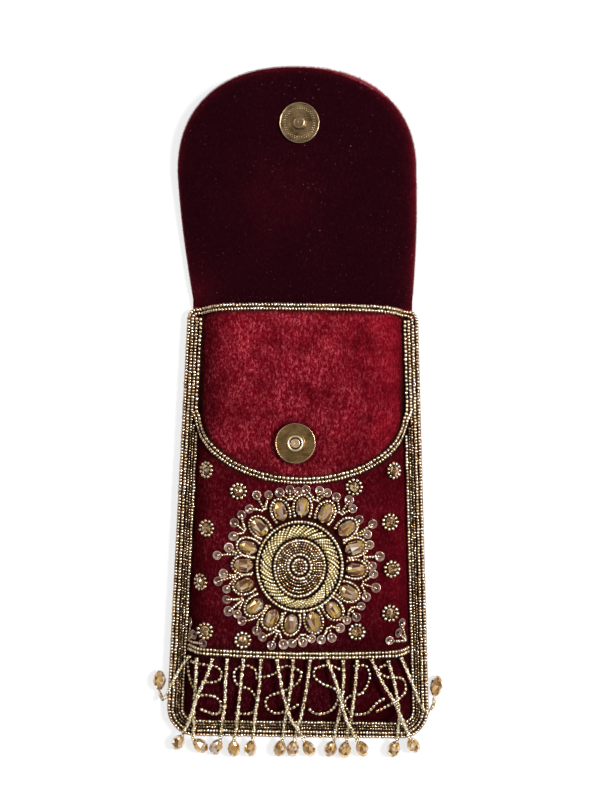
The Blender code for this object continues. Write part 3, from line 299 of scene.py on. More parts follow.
def velvet_look(name, colours, flecks, fleck_share, lint=0.0):
    """Crushed velvet: broad patches of painted sheen, painted highlights on the pile tips in short flecks,
    dark stitching and painted shade at beads.
    """
    deep, bright, tip = colours
    look = Look(name, Roughness=0.95, Sheen_Weight=0.02, Sheen_Roughness=0.4,
                Sheen_Tint=rgba(0.9, 0.05, 0.1), Specular_IOR_Level=0.0)
    # How far the cloth is painted towards its bright colour: painted sheen of the pile where high, painted
    # shade where low.
    nap = look.attribute("nap")
    broad = look.level(look.noise(0.015, 3.0, 0.6), 0.36, 0.64)
    patch = look.level(look.noise(0.0036, 3.0, 0.65), 0.32, 0.70)
    ground = look.mix(nap * (0.34 + 0.42 * broad + 0.30 * patch), deep, bright)
    fibre = look.noise(0.00095, 4.0, 0.82, (1.15, 0.55, 1.0))
    clump = look.level(look.noise(0.0021, 2.0, 0.6), 0.40, 0.60)
    dash = look.level(fibre, 0.50, 0.63) * (0.30 + 0.70 * clump)
    # Painted highlights: flecks of the bright tip colour, more where the painted sheen is and where the fleck
    # amount is high.
    lit_flecks = flecks * (0.16 + 0.84 * nap) * look.attribute("fuzz") * (0.20 + 1.0 * broad)
    colour = look.mix(dash * (fleck_share + lit_flecks), ground, tip)
    colour = look.mix(look.level(fibre, 0.50, 0.36) * 0.5, colour, deep)
    # Dark stitching at the bead work, with painted shade between and around the rows.
    colour = look.mix(look.attribute("thread"), colour, rgba(0.010, 0.003, 0.002))
    if lint:
        patchy = look.level(look.noise(0.016, 2.0), 0.42, 0.62)
        speck = look.level(look.noise(0.0009, 1.0), 0.72, 0.80) * patchy
        colour = look.mix(speck * lint, colour, rgba(0.15, 0.06, 0.06))
    look.surface(Base_Color=colour, Normal=look.bump(fibre + 0.8 * patch, 0.45, 0.0004))
    return look.owner


def bead_look(name, stops, roughness, metallic=0.9):
    """Lined glass seed beads, coloured along the ramp by their tone, which on beads holds painted shade down
    the flanks, a painted highlight on top and each bead's own tone.
    """
    look = Look(name, Roughness=roughness, Metallic=metallic, Coat_Weight=0.25, Coat_Roughness=0.08)
    tone = look.attribute("tone") + 0.12 * look.noise(0.0007, 1.0) - 0.06
    look.surface(Base_Color=look.ramp(tone, stops))
    return look.owner


def crystal_look(name, stops, transmission, metallic):
    """Faceted glass with a rainbow coat: every facet takes another tone, partly the coat's own colours and
    partly painted reflections, with white at the ramp's top for painted highlights.
    """
    look = Look(name, Roughness=0.05, Metallic=metallic, IOR=1.6, Transmission_Weight=transmission,
                Coat_Weight=1.0, Coat_Roughness=0.02)
    tone = look.attribute("tone") + 0.10 * look.noise(0.0018, 1.0) - 0.05
    look.surface(Base_Color=look.ramp(tone, stops))
    return look.owner


def brass_look(name, deep, pale, worn):
    """Antique brass plate: cloudy patina, fine rubbing marks, and bright metal where edges have worn."""
    look = Look(name, Metallic=1.0)
    cloud = look.noise(0.0045, 4.0, 0.6)
    rub = look.noise(0.0005, 3.0, 0.6, (0.12, 1.0, 1.0))
    patina = look.mix(look.level(cloud * 0.75 + rub * 0.35, 0.38, 0.72), rgba(*deep), rgba(*pale))
    colour = look.mix(look.attribute("tone") * (0.75 + 0.3 * rub), patina, rgba(*worn))
    look.surface(Base_Color=colour, Roughness=0.22 + 0.16 * rub, Normal=look.bump(rub, 0.10, 0.00006))
    return look.owner


def thread_look(name, stops):
    """Metal-wrapped bullion: bright coils with dark lines between, a painted highlight and painted shade
    carried by the tone.
    """
    look = Look(name, Metallic=0.85, Roughness=0.24, Coat_Weight=0.3, Coat_Roughness=0.1)
    speck = look.level(look.noise(0.0005, 2.0, 0.7), 0.34, 0.66)
    look.surface(Base_Color=look.ramp(look.attribute("tone") * 0.65 + 0.35 * speck, stops))
    return look.owner


def satin_look(name, colour, shade):
    look = Look(name, Roughness=0.42, Sheen_Weight=0.2, Specular_IOR_Level=0.4)
    weave = look.node("ShaderNodeTexWave", {"Vector": look.place(), "Scale": 900.0}, bands_direction="X")
    fold = look.level(look.noise(0.012, 3.0), 0.3, 0.7)
    look.surface(Base_Color=look.mix(fold, rgba(*shade), rgba(*colour)), Normal=look.bump(weave, 0.1, 0.0001))
    return look.owner


def plain_metal_look(name, colour, roughness):
    look = Look(name, Metallic=0.9)
    grain = look.noise(0.0008, 3.0)
    look.surface(Base_Color=look.mix(grain, rgba(*colour), rgba(*[0.6 * part for part in colour])),
                 Roughness=roughness + 0.15 * grain)
    return look.owner


def floor_look():
    """Pale floor that looks white to the camera, in reflections and through glass, and keeps the shadow."""
    look = Look("floor", Roughness=0.9, Base_Color=rgba(0.80, 0.80, 0.80))
    camera, glossy, through = (look.node("ShaderNodeLightPath", output=f"Is {kind} Ray")
                               for kind in ("Camera", "Glossy", "Transmission"))
    glow = look.node("ShaderNodeEmission", {"Color": rgba(1, 1, 1), "Strength": 1.0})
    look.share_surface("Material Output", (camera + glossy + through) * FLOOR_GLOW, glow)
    return look.owner


# Materials

# Velvets: a deep colour, a bright one that the painted sheen mixes in, and a tip colour for the painted
# highlights on the pile.
velvet = velvet_look("crimson_velvet", (
    rgba(0.014, 0.0004, 0.0014), rgba(0.178, 0.0030, 0.0085), rgba(0.43, 0.070, 0.095)), 0.95, 0.05)
dark_velvet = velvet_look("dark_flap_velvet", (
    rgba(0.0068, 0.0008, 0.0022), rgba(0.085, 0.004, 0.008), rgba(0.075, 0.016, 0.018)), 0.30, 0.10, lint=0.8)
gold = bead_look("champagne_gold_beads", [
    (0, 14, 5, 1), (30, 70, 31, 10), (55, 340, 200, 100), (80, 780, 570, 370), (100, 1000, 880, 720)], 0.20)
pale_gold = bead_look("pale_gold_beads", [
    (0, 70, 45, 12), (28, 340, 250, 100), (52, 860, 680, 420), (75, 1000, 880, 680), (100, 1000, 960, 900)],
    0.26)
bronze = bead_look("bronze_beads", [
    (0, 10, 4, 1), (40, 55, 24, 7), (68, 260, 140, 55), (86, 720, 500, 320), (100, 1000, 880, 740)], 0.16)
edge_bronze = bead_look("edge_bronze_beads", [
    (0, 8, 3, 1), (45, 30, 13, 4), (72, 130, 70, 28), (90, 550, 380, 240), (100, 1000, 880, 740)], 0.18)
bullion = thread_look("bullion_thread", [
    (0, 55, 30, 6), (36, 340, 240, 80), (68, 860, 720, 380), (100, 1000, 960, 780)])
sewn_glass = crystal_look("amber_rainbow_crystal", [
    (0, 70, 22, 6), (24, 260, 100, 35), (40, 440, 240, 100), (56, 800, 520, 70), (70, 460, 280, 300),
    (84, 860, 660, 420), (100, 1000, 980, 960)], 0.0, 0.8)
hanging_glass = crystal_look("amber_drop_glass", [
    (0, 180, 66, 8), (25, 440, 210, 35), (50, 700, 410, 110), (70, 860, 580, 260), (84, 660, 480, 420),
    (100, 1000, 970, 920)], 0.12, 0.6)
eye_glass = crystal_look("brown_eye_crystal", [
    (0, 30, 10, 2), (45, 160, 60, 14), (80, 520, 270, 80), (100, 1000, 820, 550)], 0.05, 0.6)
sequin_film = bead_look("sequin_film", [
    (0, 40, 8, 8), (35, 120, 55, 45), (65, 270, 165, 130), (100, 620, 470, 380)], 0.26, 0.6)
pile_tips = bead_look("crimson_pile_tips", [
    (0, 40, 1, 4), (50, 150, 4, 10), (85, 270, 14, 26), (100, 420, 80, 95)], 0.9, 0.0)
brass = brass_look("antique_brass", (0.085, 0.048, 0.016), (0.25, 0.150, 0.062), (0.86, 0.63, 0.40))
dark_brass = brass_look("tarnished_brass", (0.066, 0.038, 0.016), (0.26, 0.170, 0.085), (0.72, 0.55, 0.36))
satin = satin_look("lining_satin", (0.16, 0.006, 0.014), (0.07, 0.003, 0.007))
magnet = plain_metal_look("magnet", (0.08, 0.08, 0.085), 0.5)


# Meshes


def add_object(name, points, faces, look, smooth=True, **shares):
    """A mesh from arrays, with named numbers for each point that its material reads."""
    mesh = bpy.data.meshes.new(name)
    mesh.from_pydata(points.tolist(), [], faces.tolist())
    if smooth:
        mesh.shade_smooth()
    for share_name, share in shares.items():
        layer = mesh.attributes.new(share_name, "FLOAT", "POINT")
        layer.data.foreach_set("value", np.ascontiguousarray(share.ravel(), dtype=np.float32))
    mesh.materials.append(look)
    made = bpy.data.objects.new(name, mesh)
    bpy.context.scene.collection.objects.link(made)
    return made


def add_piece(name, points, faces, look, *nodes, **settings):
    """A piece of the pouch, which takes the place of these nodes."""
    made = add_object(name, points, faces, look, **settings)
    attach(made, "root")
    if nodes:
        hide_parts(*nodes)
    return made


def bead_piece(name, arrays, look, *nodes):
    points, faces, tones = joined(arrays)
    return add_piece(name, points, faces, look, *nodes, tone=tones)


def grid_quads(rows, columns, wrap=False):
    """Quads of a grid of points stored row by row; wrap joins the last column to the first."""
    row = np.arange(rows - 1)[:, None]
    column = np.arange(columns if wrap else columns - 1)[None, :]
    after = (column + 1) % columns
    return np.stack([row * columns + column, row * columns + after,
                     (row + 1) * columns + after, (row + 1) * columns + column], axis=-1).reshape(-1, 4)


def steps_round(count):
    """A full turn in even steps."""
    return math.tau * np.arange(count) / count


def rings_about_x(place, radius, turn):
    """Rings of points about X: each has its place along X and its radius."""
    return np.stack(np.broadcast_arrays(place, radius * np.cos(turn), radius * np.sin(turn)), axis=-1)


def rings_about_z(radius, height, turn):
    """The same about Z."""
    return np.roll(rings_about_x(height, radius, turn), -1, axis=-1)


def normalised(vectors):
    return vectors / np.maximum(np.linalg.norm(vectors, axis=-1, keepdims=True), 1e-12)


def bead_shape(around=8, rings=5, squareness=2.5):
    """A closed round bead with its hole along X: a superellipse turned about X, in quads only."""
    across = np.linspace(-0.93, 0.93, rings)[:, None]
    radius = (1 - np.abs(across) ** squareness) ** (1 / squareness)
    quads = grid_quads(rings, around, wrap=True)[:, ::-1]
    cap = [[0, 1, 2, 3], [0, 3, 4, 7], [4, 5, 6, 7]] if around == 8 else [[0, 1, 2, 3], [0, 3, 4, 5]]
    cap = np.array(cap)
    faces = np.concatenate([quads, cap, cap[:, ::-1] + (rings - 1) * around])
    return rings_about_x(across, radius, steps_round(around)).reshape(-1, 3), faces[:, ::-1]


def swarm(shape, places, frames, scales):
    """Copies of a shape: each point is scaled, turned by its copy's frame and moved."""
    points, faces = shape
    moved = np.einsum("nij,pj,nj->npi", frames, points, scales) + places[:, None, :]
    copies = faces[None, :, :] + (np.arange(len(places)) * len(points))[:, None, None]
    return moved.reshape(-1, 3), copies.reshape(-1, faces.shape[1])


def frames_along(along, up):
    """Turns with X along the row, Z away from the cloth."""
    x_axis = normalised(along)
    y_axis = normalised(np.cross(up, x_axis))
    return np.stack([x_axis, y_axis, np.cross(x_axis, y_axis)], axis=-1)


def measured(line):
    """A line's whole length, and what gives its points at lengths along it."""
    length = np.concatenate([[0], np.cumsum(np.linalg.norm(np.diff(line, axis=0), axis=1))])
    return length[-1], lambda at: np.stack([np.interp(at, length, column) for column in line.T], axis=-1)


def spaced(path, pitch, closed=False):
    """Even places and directions along a line of points."""
    whole, point_at = measured(np.vstack([path, path[:1]]) if closed else path)
    count = max(2, int(round(whole / pitch)))
    at = whole * (np.arange(count) + 0.5) / count
    return point_at(at), normalised(point_at(at + pitch * 0.4) - point_at(at - pitch * 0.4))


# The pouch's surface, as in the model


def half_width(y):
    """The body's half width, which falls evenly from the foot to the mouth."""
    share = (y - FOOT_Y) / (RIM_CORNER_Y - FOOT_Y)
    return 0.5 * (BOTTOM_WIDTH + (TOP_WIDTH - BOTTOM_WIDTH) * share)


def rim_y(x):
    """The mouth's line, a shallow arch of the fourth power."""
    return RIM_CORNER_Y + RIM_ARCH * (1 - np.minimum(1.0, np.abs(x) / (TOP_WIDTH / 2)) ** RIM_POWER)


def mouth_y(x):
    """The mouth edge with its two corners rounded off."""
    room = RIM_CORNER_RADIUS - (half_width(RIM_CORNER_Y) - np.abs(x))
    drop = RIM_CORNER_RADIUS - np.sqrt(np.maximum(RIM_CORNER_RADIUS ** 2 - np.maximum(room, 0) ** 2, 0))
    return rim_y(x) - drop


def edge_distance(x, y):
    """Distance in from the side and foot edges: the nearer of the two, or to the corner's arc."""
    side = half_width(y) - np.abs(x)
    foot = y - FOOT_Y
    corner = CORNER_RADIUS - np.hypot(CORNER_RADIUS - side, CORNER_RADIUS - foot)
    in_corner = (side < CORNER_RADIUS) & (foot < CORNER_RADIUS)
    return np.where(in_corner, corner, np.minimum(side, foot))


def pillow(distance):
    """One minus a falling power of the share across the shoulder."""
    share = np.clip((distance - SEAM_WIDTH) / SHOULDER_WIDTH, 0, 1)
    return PILLOW_RISE * (1 - (1 - share) ** SHOULDER_POWER)


def front_height(x, y):
    distance = edge_distance(x, y)
    return np.where(distance > -5e-6, FLANGE_TOP + pillow(distance), 0.0)


def seat_height(x, y, reach):
    """Centre height of a ball of this radius resting on the front."""
    best = front_height(x, y) + reach
    for ring in (0.3, 0.55, 0.75, 0.9, 0.98):
        rise = reach * math.sqrt(1 - ring * ring)
        for angle in steps_round(12):
            beside = front_height(x + ring * reach * math.cos(angle), y + ring * reach * math.sin(angle))
            best = np.maximum(best, beside + rise)
    return best


def front_normal(points):
    """The front's normals, from its slopes over a small step."""
    x, y = points[:, 0], points[:, 1]
    step = 0.0006
    slope_x = (front_height(x + step, y) - front_height(x - step, y)) / (2 * step)
    slope_y = (front_height(x, y + step) - front_height(x, y - step)) / (2 * step)
    return normalised(np.stack([-slope_x, -slope_y, np.ones_like(slope_x)], axis=-1))


def on_plan(points):
    """Plan millimetres to metres."""
    return np.array(points, float) / 1000


def smooth_line(points, per_span=14):
    """Catmull-Rom curve through points, in any number of dimensions."""
    points = np.array(points, float)
    ends = np.vstack([2 * points[0] - points[1], points, 2 * points[-1] - points[-2]])
    t = (np.arange(per_span) / per_span)[None, :, None]
    before, start, end, after = (ends[k:len(ends) - 3 + k, None, :] for k in range(4))
    curve = 0.5 * (2 * start + (end - before) * t + (2 * before - 5 * start + 4 * end - after) * t ** 2
                   + (3 * start - before - 3 * end + after) * t ** 3)
    return np.vstack([curve.reshape(-1, points.shape[1]), points[-1:]])


# Bead work

BEAD = bead_shape(squareness=2.8)
SMALL_BEAD = bead_shape(6, 4)


def bead_array(places, along, up, radius, length, shape=BEAD, jitter=0.045, spread=0.15):
    """Beads at places, each a little different in size and lie, with painted shade towards its foot and ends
    and a painted highlight on top.
    """
    count = len(places)
    scales = np.array([[length / 2, radius, radius]]) * (1 + jitter * rng.normal(size=(count, 1)))
    lean = along + 0.05 * rng.normal(size=(count, 3))
    points, faces = swarm(shape, places, frames_along(lean, up), scales)
    own = rng.uniform(-spread, spread, (count, 1))
    # Painted highlight on each bead's top, painted shade down its flanks and at both ends, where it meets the
    # next bead.
    tones = 0.46 + own + 0.42 * shape[0][:, 2] - 0.42 * np.abs(shape[0][:, 0]) ** 3
    return points, faces, np.clip(tones, 0, 1).ravel()


def joined(arrays):
    """Several bead arrays as one."""
    points, faces, tones = zip(*arrays)
    starts = np.cumsum([0] + [len(part) for part in points])
    faces = [part + start for part, start in zip(faces, starts)]
    return np.vstack(points), np.vstack(faces), np.concatenate(tones)


def lay_row(plan, radius, pitch, closed=False, fill=1.06):
    """A row of beads over plan points, lying on the front."""
    line = np.vstack([plan, plan[:1]]) if closed else plan
    dense = []
    for near, far in zip(line[:-1], line[1:]):
        share = np.linspace(0, 1, max(2, int(np.hypot(*(far - near)) / 0.0008)), endpoint=False)
        dense.append(near + (far - near) * share[:, None])
    dense = np.vstack(dense + ([] if closed else [plan[-1:]]))
    height = seat_height(dense[:, 0], dense[:, 1], radius)
    spots, along = spaced(np.column_stack([dense, height]), pitch, closed)
    side = np.cross(along, front_normal(spots))
    spots = spots + side * rng.normal(scale=THREAD_SCATTER, size=(len(spots), 1))
    return bead_array(spots, along, front_normal(spots), radius, pitch * fill)


def edge_line():
    """The body's edge as a closed line of even points with inward directions: down the left side, round the
    foot, up the right side and back over the mouth, with all four corners rounded."""
    turn = np.linspace(0, math.pi / 2, 24)
    arc_y = FOOT_Y + CORNER_RADIUS * (1 - np.cos(turn))
    arc_x = half_width(arc_y) - CORNER_RADIUS * (1 - np.sin(turn))
    side_y = np.linspace(FOOT_Y + CORNER_RADIUS, RIM_CORNER_Y - RIM_CORNER_RADIUS, 60)[1:]
    mouth_x = np.sin(np.linspace(math.pi / 2, 0, 60)) * half_width(RIM_CORNER_Y)
    right = np.vstack([np.column_stack([arc_x, arc_y]), np.column_stack([half_width(side_y), side_y]),
                       np.column_stack([mouth_x, mouth_y(mouth_x)])[1:]])
    whole = np.vstack([right, right[-2:0:-1] * [-1, 1]])
    length, point_at = measured(np.vstack([whole, whole[:1]]))
    even = point_at(np.linspace(0, length, 1400, endpoint=False))
    ahead = normalised(np.roll(even, -4, axis=0) - np.roll(even, 4, axis=0))
    return even, np.column_stack([-ahead[:, 1], ahead[:, 0]])


def closed_plan(offset):
    """The edge line moved inwards."""
    line, inward = edge_line()
    return line + inward * offset


def outline_plan(offset, top_y):
    """The part of that line below a height, from the left side round the foot to the right side."""
    plan = closed_plan(offset)
    plan = np.roll(plan, -np.argmax(plan[:, 1]), axis=0)
    return plan[plan[:, 1] < top_y]


def scallop_plan(offset, step):
    """Down the side, round half an ellipse and up the other side."""
    top_y = RIM_CORNER_Y - SCALLOP_TOP_INSET
    turn = np.linspace(0.12, math.pi / 2, 40)
    y = np.concatenate([[top_y, SCALLOP_CENTRE_Y], SCALLOP_CENTRE_Y - (SCALLOP_DEPTH + step) * np.sin(turn)])
    x = np.concatenate([half_width(y[:2]) - offset, (SCALLOP_HALF_WIDTH + step) * np.cos(turn)])
    right = np.column_stack([x, y])
    return np.vstack([right, right[-2::-1] * [-1, 1]])


def row_start(offset, radius):
    """Where a side row can begin below the scallop line."""
    y = np.arange(SCALLOP_CENTRE_Y, SCALLOP_BOTTOM_Y, -0.0005)
    share = np.clip((SCALLOP_CENTRE_Y - y) / (SCALLOP_DEPTH + SCALLOP_ROW_STEP), 0, 1)
    line = (SCALLOP_HALF_WIDTH + SCALLOP_ROW_STEP) * np.sqrt(1 - share ** 2)
    return y[np.argmax(half_width(y) - line >= offset + radius + SCALLOP_BEAD_ROOM)]


def band_plan(step):
    """A line across above the fringe, bowed by a square of its share."""
    end = half_width(BAND_Y - step) - 0.0087
    across = np.linspace(-end, end, 80)
    return np.column_stack([across, BAND_Y - step + BAND_BOW * (across / (BOTTOM_WIDTH / 2)) ** 2])


def sun_places(radius, turn, height):
    """Points on an upright ellipse about the sun's centre."""
    return np.stack([radius * np.cos(turn), SUN_Y + SUN_STRETCH * radius * np.sin(turn),
                     np.broadcast_to(height, np.shape(turn))], axis=-1)


def sun_ring(radius, bead_radius, pitch, shape=BEAD, egg=0.0):
    """A ring of beads about the sun's centre, drawn out towards its lower end by a share."""
    turn = np.linspace(0, math.tau, 200, endpoint=False)
    reach = radius * (1 + egg * np.maximum(0, np.cos(turn - EGG_TURN)) ** 3)
    spots, along = spaced(sun_places(reach, turn, PANEL_TOP + bead_radius * 0.9), pitch, closed=True)
    return bead_array(spots, along, UP, bead_radius, pitch * 1.06, shape)


def compass(place):
    """Turn and radius of a listed place, from degrees clockwise and millimetres."""
    degrees, reach = place
    x = reach * math.sin(math.radians(degrees))
    y = reach * math.cos(math.radians(degrees)) / SUN_STRETCH
    return math.atan2(y, x), math.hypot(x, y) / 1000


def petal_path(place):
    """One open arch round a crystal: two straight legs from the outer ring and a half round end."""
    turn, reach = compass(place)
    half = np.array([(-0.0045, 0.80), (-0.0030, 0.98), (-0.0010, 1.08), (0.0012, 1.06), (0.0031, 0.86),
                     (0.0046, 0.45)])
    side = half[:, 1] * PETAL_HALF_WIDTH
    out = reach + np.concatenate([half[:, 0], [0.0052], half[::-1, 0]])
    across = np.concatenate([-side, [0.0], side[::-1]])
    x = out * math.cos(turn) - across * math.sin(turn)
    y = SUN_Y + SUN_STRETCH * (out * math.sin(turn) + across * math.cos(turn))
    return smooth_line(np.column_stack([x, y, np.full(len(x), PANEL_TOP + 0.0008)]), 6)


# Faceted glass

DROP_RINGS = [(0.0, 0.36), (0.10, 0.62), (0.30, 0.92), (0.52, 1.04), (0.74, 0.90), (0.90, 0.56), (1.0, 0.24)]
OVAL_RINGS = [(-1.0, 0.22), (-0.80, 0.66), (-0.42, 0.97), (0.46, 0.95), (0.84, 0.62), (1.0, 0.22)]
ROUND_RINGS = [(-0.9, 0.3), (-0.5, 0.8), (0.0, 1.0), (0.5, 0.8), (0.9, 0.3)]


def facet_gem(rings, sides):
    """Rings of points, each turned half a step on from the last, joined by triangles and closed to points.

    Each ring is (place along X, radius)."""
    rings = np.array(rings)
    step = np.arange(sides)
    after = (step + 1) % sides
    turn = math.tau * (step + 0.5 * (np.arange(len(rings))[:, None] % 2)) / sides
    points = rings_about_x(rings[:, :1], rings[:, 1:], turn).reshape(-1, 3)
    start = len(points)
    corners = []
    for number in range(len(rings) - 1):
        low, low_next = number * sides + step, number * sides + after
        high, high_next = low + sides, low_next + sides
        if number % 2 == 0:
            corners += [(low, low_next, high), (high, low_next, high_next)]
        else:
            corners += [(low, high_next, high), (low, low_next, high_next)]
    last = start - sides
    corners += [(np.full(sides, start), after, step), (np.full(sides, start + 1), last + step, last + after)]
    points = np.vstack([points, [[rings[0][0], 0, 0], [rings[-1][0], 0, 0]]])
    return points, np.vstack([np.stack(three, axis=-1) for three in corners])[:, ::-1]


def gem_piece(name, shape, places, frames, size, look, *nodes, warm_end=0.0):
    """Gems with flat facets: every triangle gets its own corners, so that each can have a tone.

    warm_end pulls the outer facets' tones towards the middle of the ramp, where the amber is."""
    points, faces = swarm(shape, places, frames, np.broadcast_to(size, places.shape))
    own = np.arange(faces.size).reshape(-1, 3)
    # A random tone for each facet: the coat's colours and painted reflections.
    tones = rng.uniform(0, 1, len(own))
    outward = np.tile(shape[0][shape[1]][..., 0].mean(axis=1), len(places))
    share = warm_end * np.clip(outward * 1.6, 0, 1)
    tones = np.repeat(tones * (1 - share) + 0.58 * share, 3)
    return add_piece(name, points[faces].reshape(-1, 3), own, look, *nodes, smooth=False, tone=tones)


# Cloth


def rounded_places(sign, side, foot):
    """Points this far in from the side and foot, with the corner square bent into a quarter circle."""
    across = np.maximum(CORNER_RADIUS - side, 0)
    down = np.maximum(CORNER_RADIUS - foot, 0)
    reach = np.maximum(across, down)
    bent = (across > 0) & (down > 0)
    turn = math.pi / 4 * np.minimum(across, down) / np.maximum(reach, 1e-9)
    long_leg = reach * np.cos(turn)
    short_leg = reach * np.sin(turn)
    wide = across >= down
    side = np.where(bent, CORNER_RADIUS - np.where(wide, long_leg, short_leg), side)
    foot = np.where(bent, CORNER_RADIUS - np.where(wide, short_leg, long_leg), foot)
    y = FOOT_Y + foot
    return sign * (half_width(y) - side), y


def body_sheet(steps, inner_columns, upper_rows, top_inset, height):
    """Grid of points over the body; its outer lines follow the edge at the given distances."""
    edges = len(steps) - 1
    half_count = edges + inner_columns
    from_middle = np.arange(-half_count, half_count + 1)
    sign = np.where(from_middle < 0, -1.0, 1.0)
    in_from_edge = half_count - np.abs(from_middle)
    side = steps[np.minimum(in_from_edge, edges)]
    inner = np.where(in_from_edge <= edges, 1.0, 1 - (in_from_edge - edges) / inner_columns)
    row = np.arange(edges + upper_rows + 1)
    foot = steps[np.minimum(row, edges)]
    share = np.maximum(0, row - edges)[:, None] / upper_rows
    side_grid, foot_grid = np.broadcast_arrays(side[None, :], foot[:, None])
    x_edge, y_edge = rounded_places(sign, side_grid, foot_grid)
    inside = inner[None, :] < 1
    y_flat = FOOT_Y + foot_grid
    x = np.where(inside, sign * (half_width(y_flat) - steps[-1]) * inner, x_edge)
    y = np.where(inside, y_flat, y_edge)
    y = np.where(share > 0, y + (mouth_y(x) - top_inset - y) * share, y)
    x = np.where(share > 0, sign * (half_width(y) - side_grid) * inner, x)
    return np.stack([x, y, height(x, y)], axis=-1)


def sheet_piece(name, grid, look, node, thickness, **shares):
    """A grid of cloth with a thickness and the shares that its material reads."""
    made = add_piece(name, grid.reshape(-1, 3), grid_quads(*grid.shape[:2]), look, node, **shares)
    solid = made.modifiers.new("thickness", "SOLIDIFY")
    solid.thickness = thickness
    solid.offset = -1
    solid.use_even_offset = True
    return made


def fade(distance, full, gone):
    """1 up to one distance, falling to 0 at another."""
    return np.clip((gone - distance) / (gone - full), 0, 1)


def stitch_and_shade_share(x, y):
    """How dark the cloth is from painted shade and dark stitching: at the edge rows, scallop and band lines,
    and the sun.
    """
    from_centre = np.hypot(x, (y - SUN_Y) / SUN_STRETCH)
    reach = np.hypot(x / SCALLOP_HALF_WIDTH, np.minimum(y - SCALLOP_CENTRE_Y, 0) / SCALLOP_DEPTH)
    return np.max([
        fade(edge_distance(x, y), 0.0068, 0.0082),
        fade(mouth_y(x) - y, 0.0034, 0.0050),
        fade(from_centre, 0.0205, 0.0225),
        0.45 * fade(from_centre, 0.0290, 0.0335),
        fade(np.abs(y - BAND_Y + BAND_ROW_STEP / 2), 0.0014, 0.0036),
        fade(np.abs(reach - 1.03) * SCALLOP_DEPTH, 0.0015, 0.0028)], axis=0)


def scallop_share(x, y):
    """1 inside the scallop line, 0 below it."""
    value = (np.abs(x) / SCALLOP_HALF_WIDTH) ** 2 + (np.minimum(y - SCALLOP_CENTRE_Y, 0) / SCALLOP_DEPTH) ** 2
    return np.clip((1.03 - value) / 0.06, 0, 1)


def flap_half(y):
    """The flap's half width, which flares by a sine, and its centre line."""
    neck = RIM_CORNER_Y + RIM_ARCH
    share = np.clip((y - neck) / (FLAP_WIDEST_Y - neck), 0, 1)
    return 0.5 * (FLAP_BASE_WIDTH + FLAP_FLARE * np.sin(math.pi / 2 * share)), -FLAP_SKEW * share


def flap_lift(y):
    """How far the open flap stands up, by the square of the share along it."""
    share = np.maximum(0.0, (y - FLAP_LIFT_START_Y) / (FLAP_WIDEST_Y + FLAP_TIP_DEPTH - FLAP_LIFT_START_Y))
    return FLAP_LIFT * share ** 2


def superellipse(across, up, power):
    """The flap tip's rounding: the root of two summed powers, or one over it with power -1."""
    return (across ** FLAP_ROUNDNESS + up ** FLAP_ROUNDNESS) ** (power / FLAP_ROUNDNESS)


def turned_share(x, y):
    """How far the flap's edge turns to the light: 0 at the lower left, 1 at the upper right."""
    return 0.5 + 0.5 * np.clip((x + y - 0.150) / 0.060, -1, 1)


def flap_plan_grid(start_y, columns, straight_rows, tip_rows, inset):
    """Flap points: straight rows, then a square grid bent into the half superellipse of the tip."""
    across = np.sin(math.pi / 2 * np.linspace(-1, 1, columns))[None, :]
    y_low = np.linspace(start_y, FLAP_WIDEST_Y, straight_rows)[:, None]
    half, centre = flap_half(y_low)
    x_low = centre + across * (half - inset)
    y_low = np.broadcast_to(y_low, x_low.shape)
    up = np.sin(math.pi / 2 * np.linspace(0, 1, tip_rows + 1)[1:])[:, None]
    disc_x = across * np.sqrt(1 - up ** 2 / 2)
    disc_y = up * np.sqrt(1 - across ** 2 / 2)
    reach = np.maximum(np.hypot(disc_x, disc_y), 1e-9)
    stretch = superellipse(np.abs(disc_x) / reach, disc_y / reach, -1)
    x_tip = -FLAP_SKEW + ((FLAP_BASE_WIDTH + FLAP_FLARE) / 2 - inset) * disc_x * stretch
    y_tip = FLAP_WIDEST_Y + (FLAP_TIP_DEPTH - inset) * disc_y * stretch
    return np.vstack([x_low, x_tip]), np.vstack([y_low, y_tip])


def flap_edge_distance(x, y):
    """Distance in from the flap's edge, near enough."""
    half, centre = flap_half(y)
    rounding = np.maximum(0, y - FLAP_WIDEST_Y) / FLAP_TIP_DEPTH
    ellipse = superellipse(np.abs(x - centre) / half, rounding, 1)
    return np.where(y > FLAP_WIDEST_Y, (1 - ellipse) * FLAP_TIP_DEPTH, half - np.abs(x - centre))


# The scene


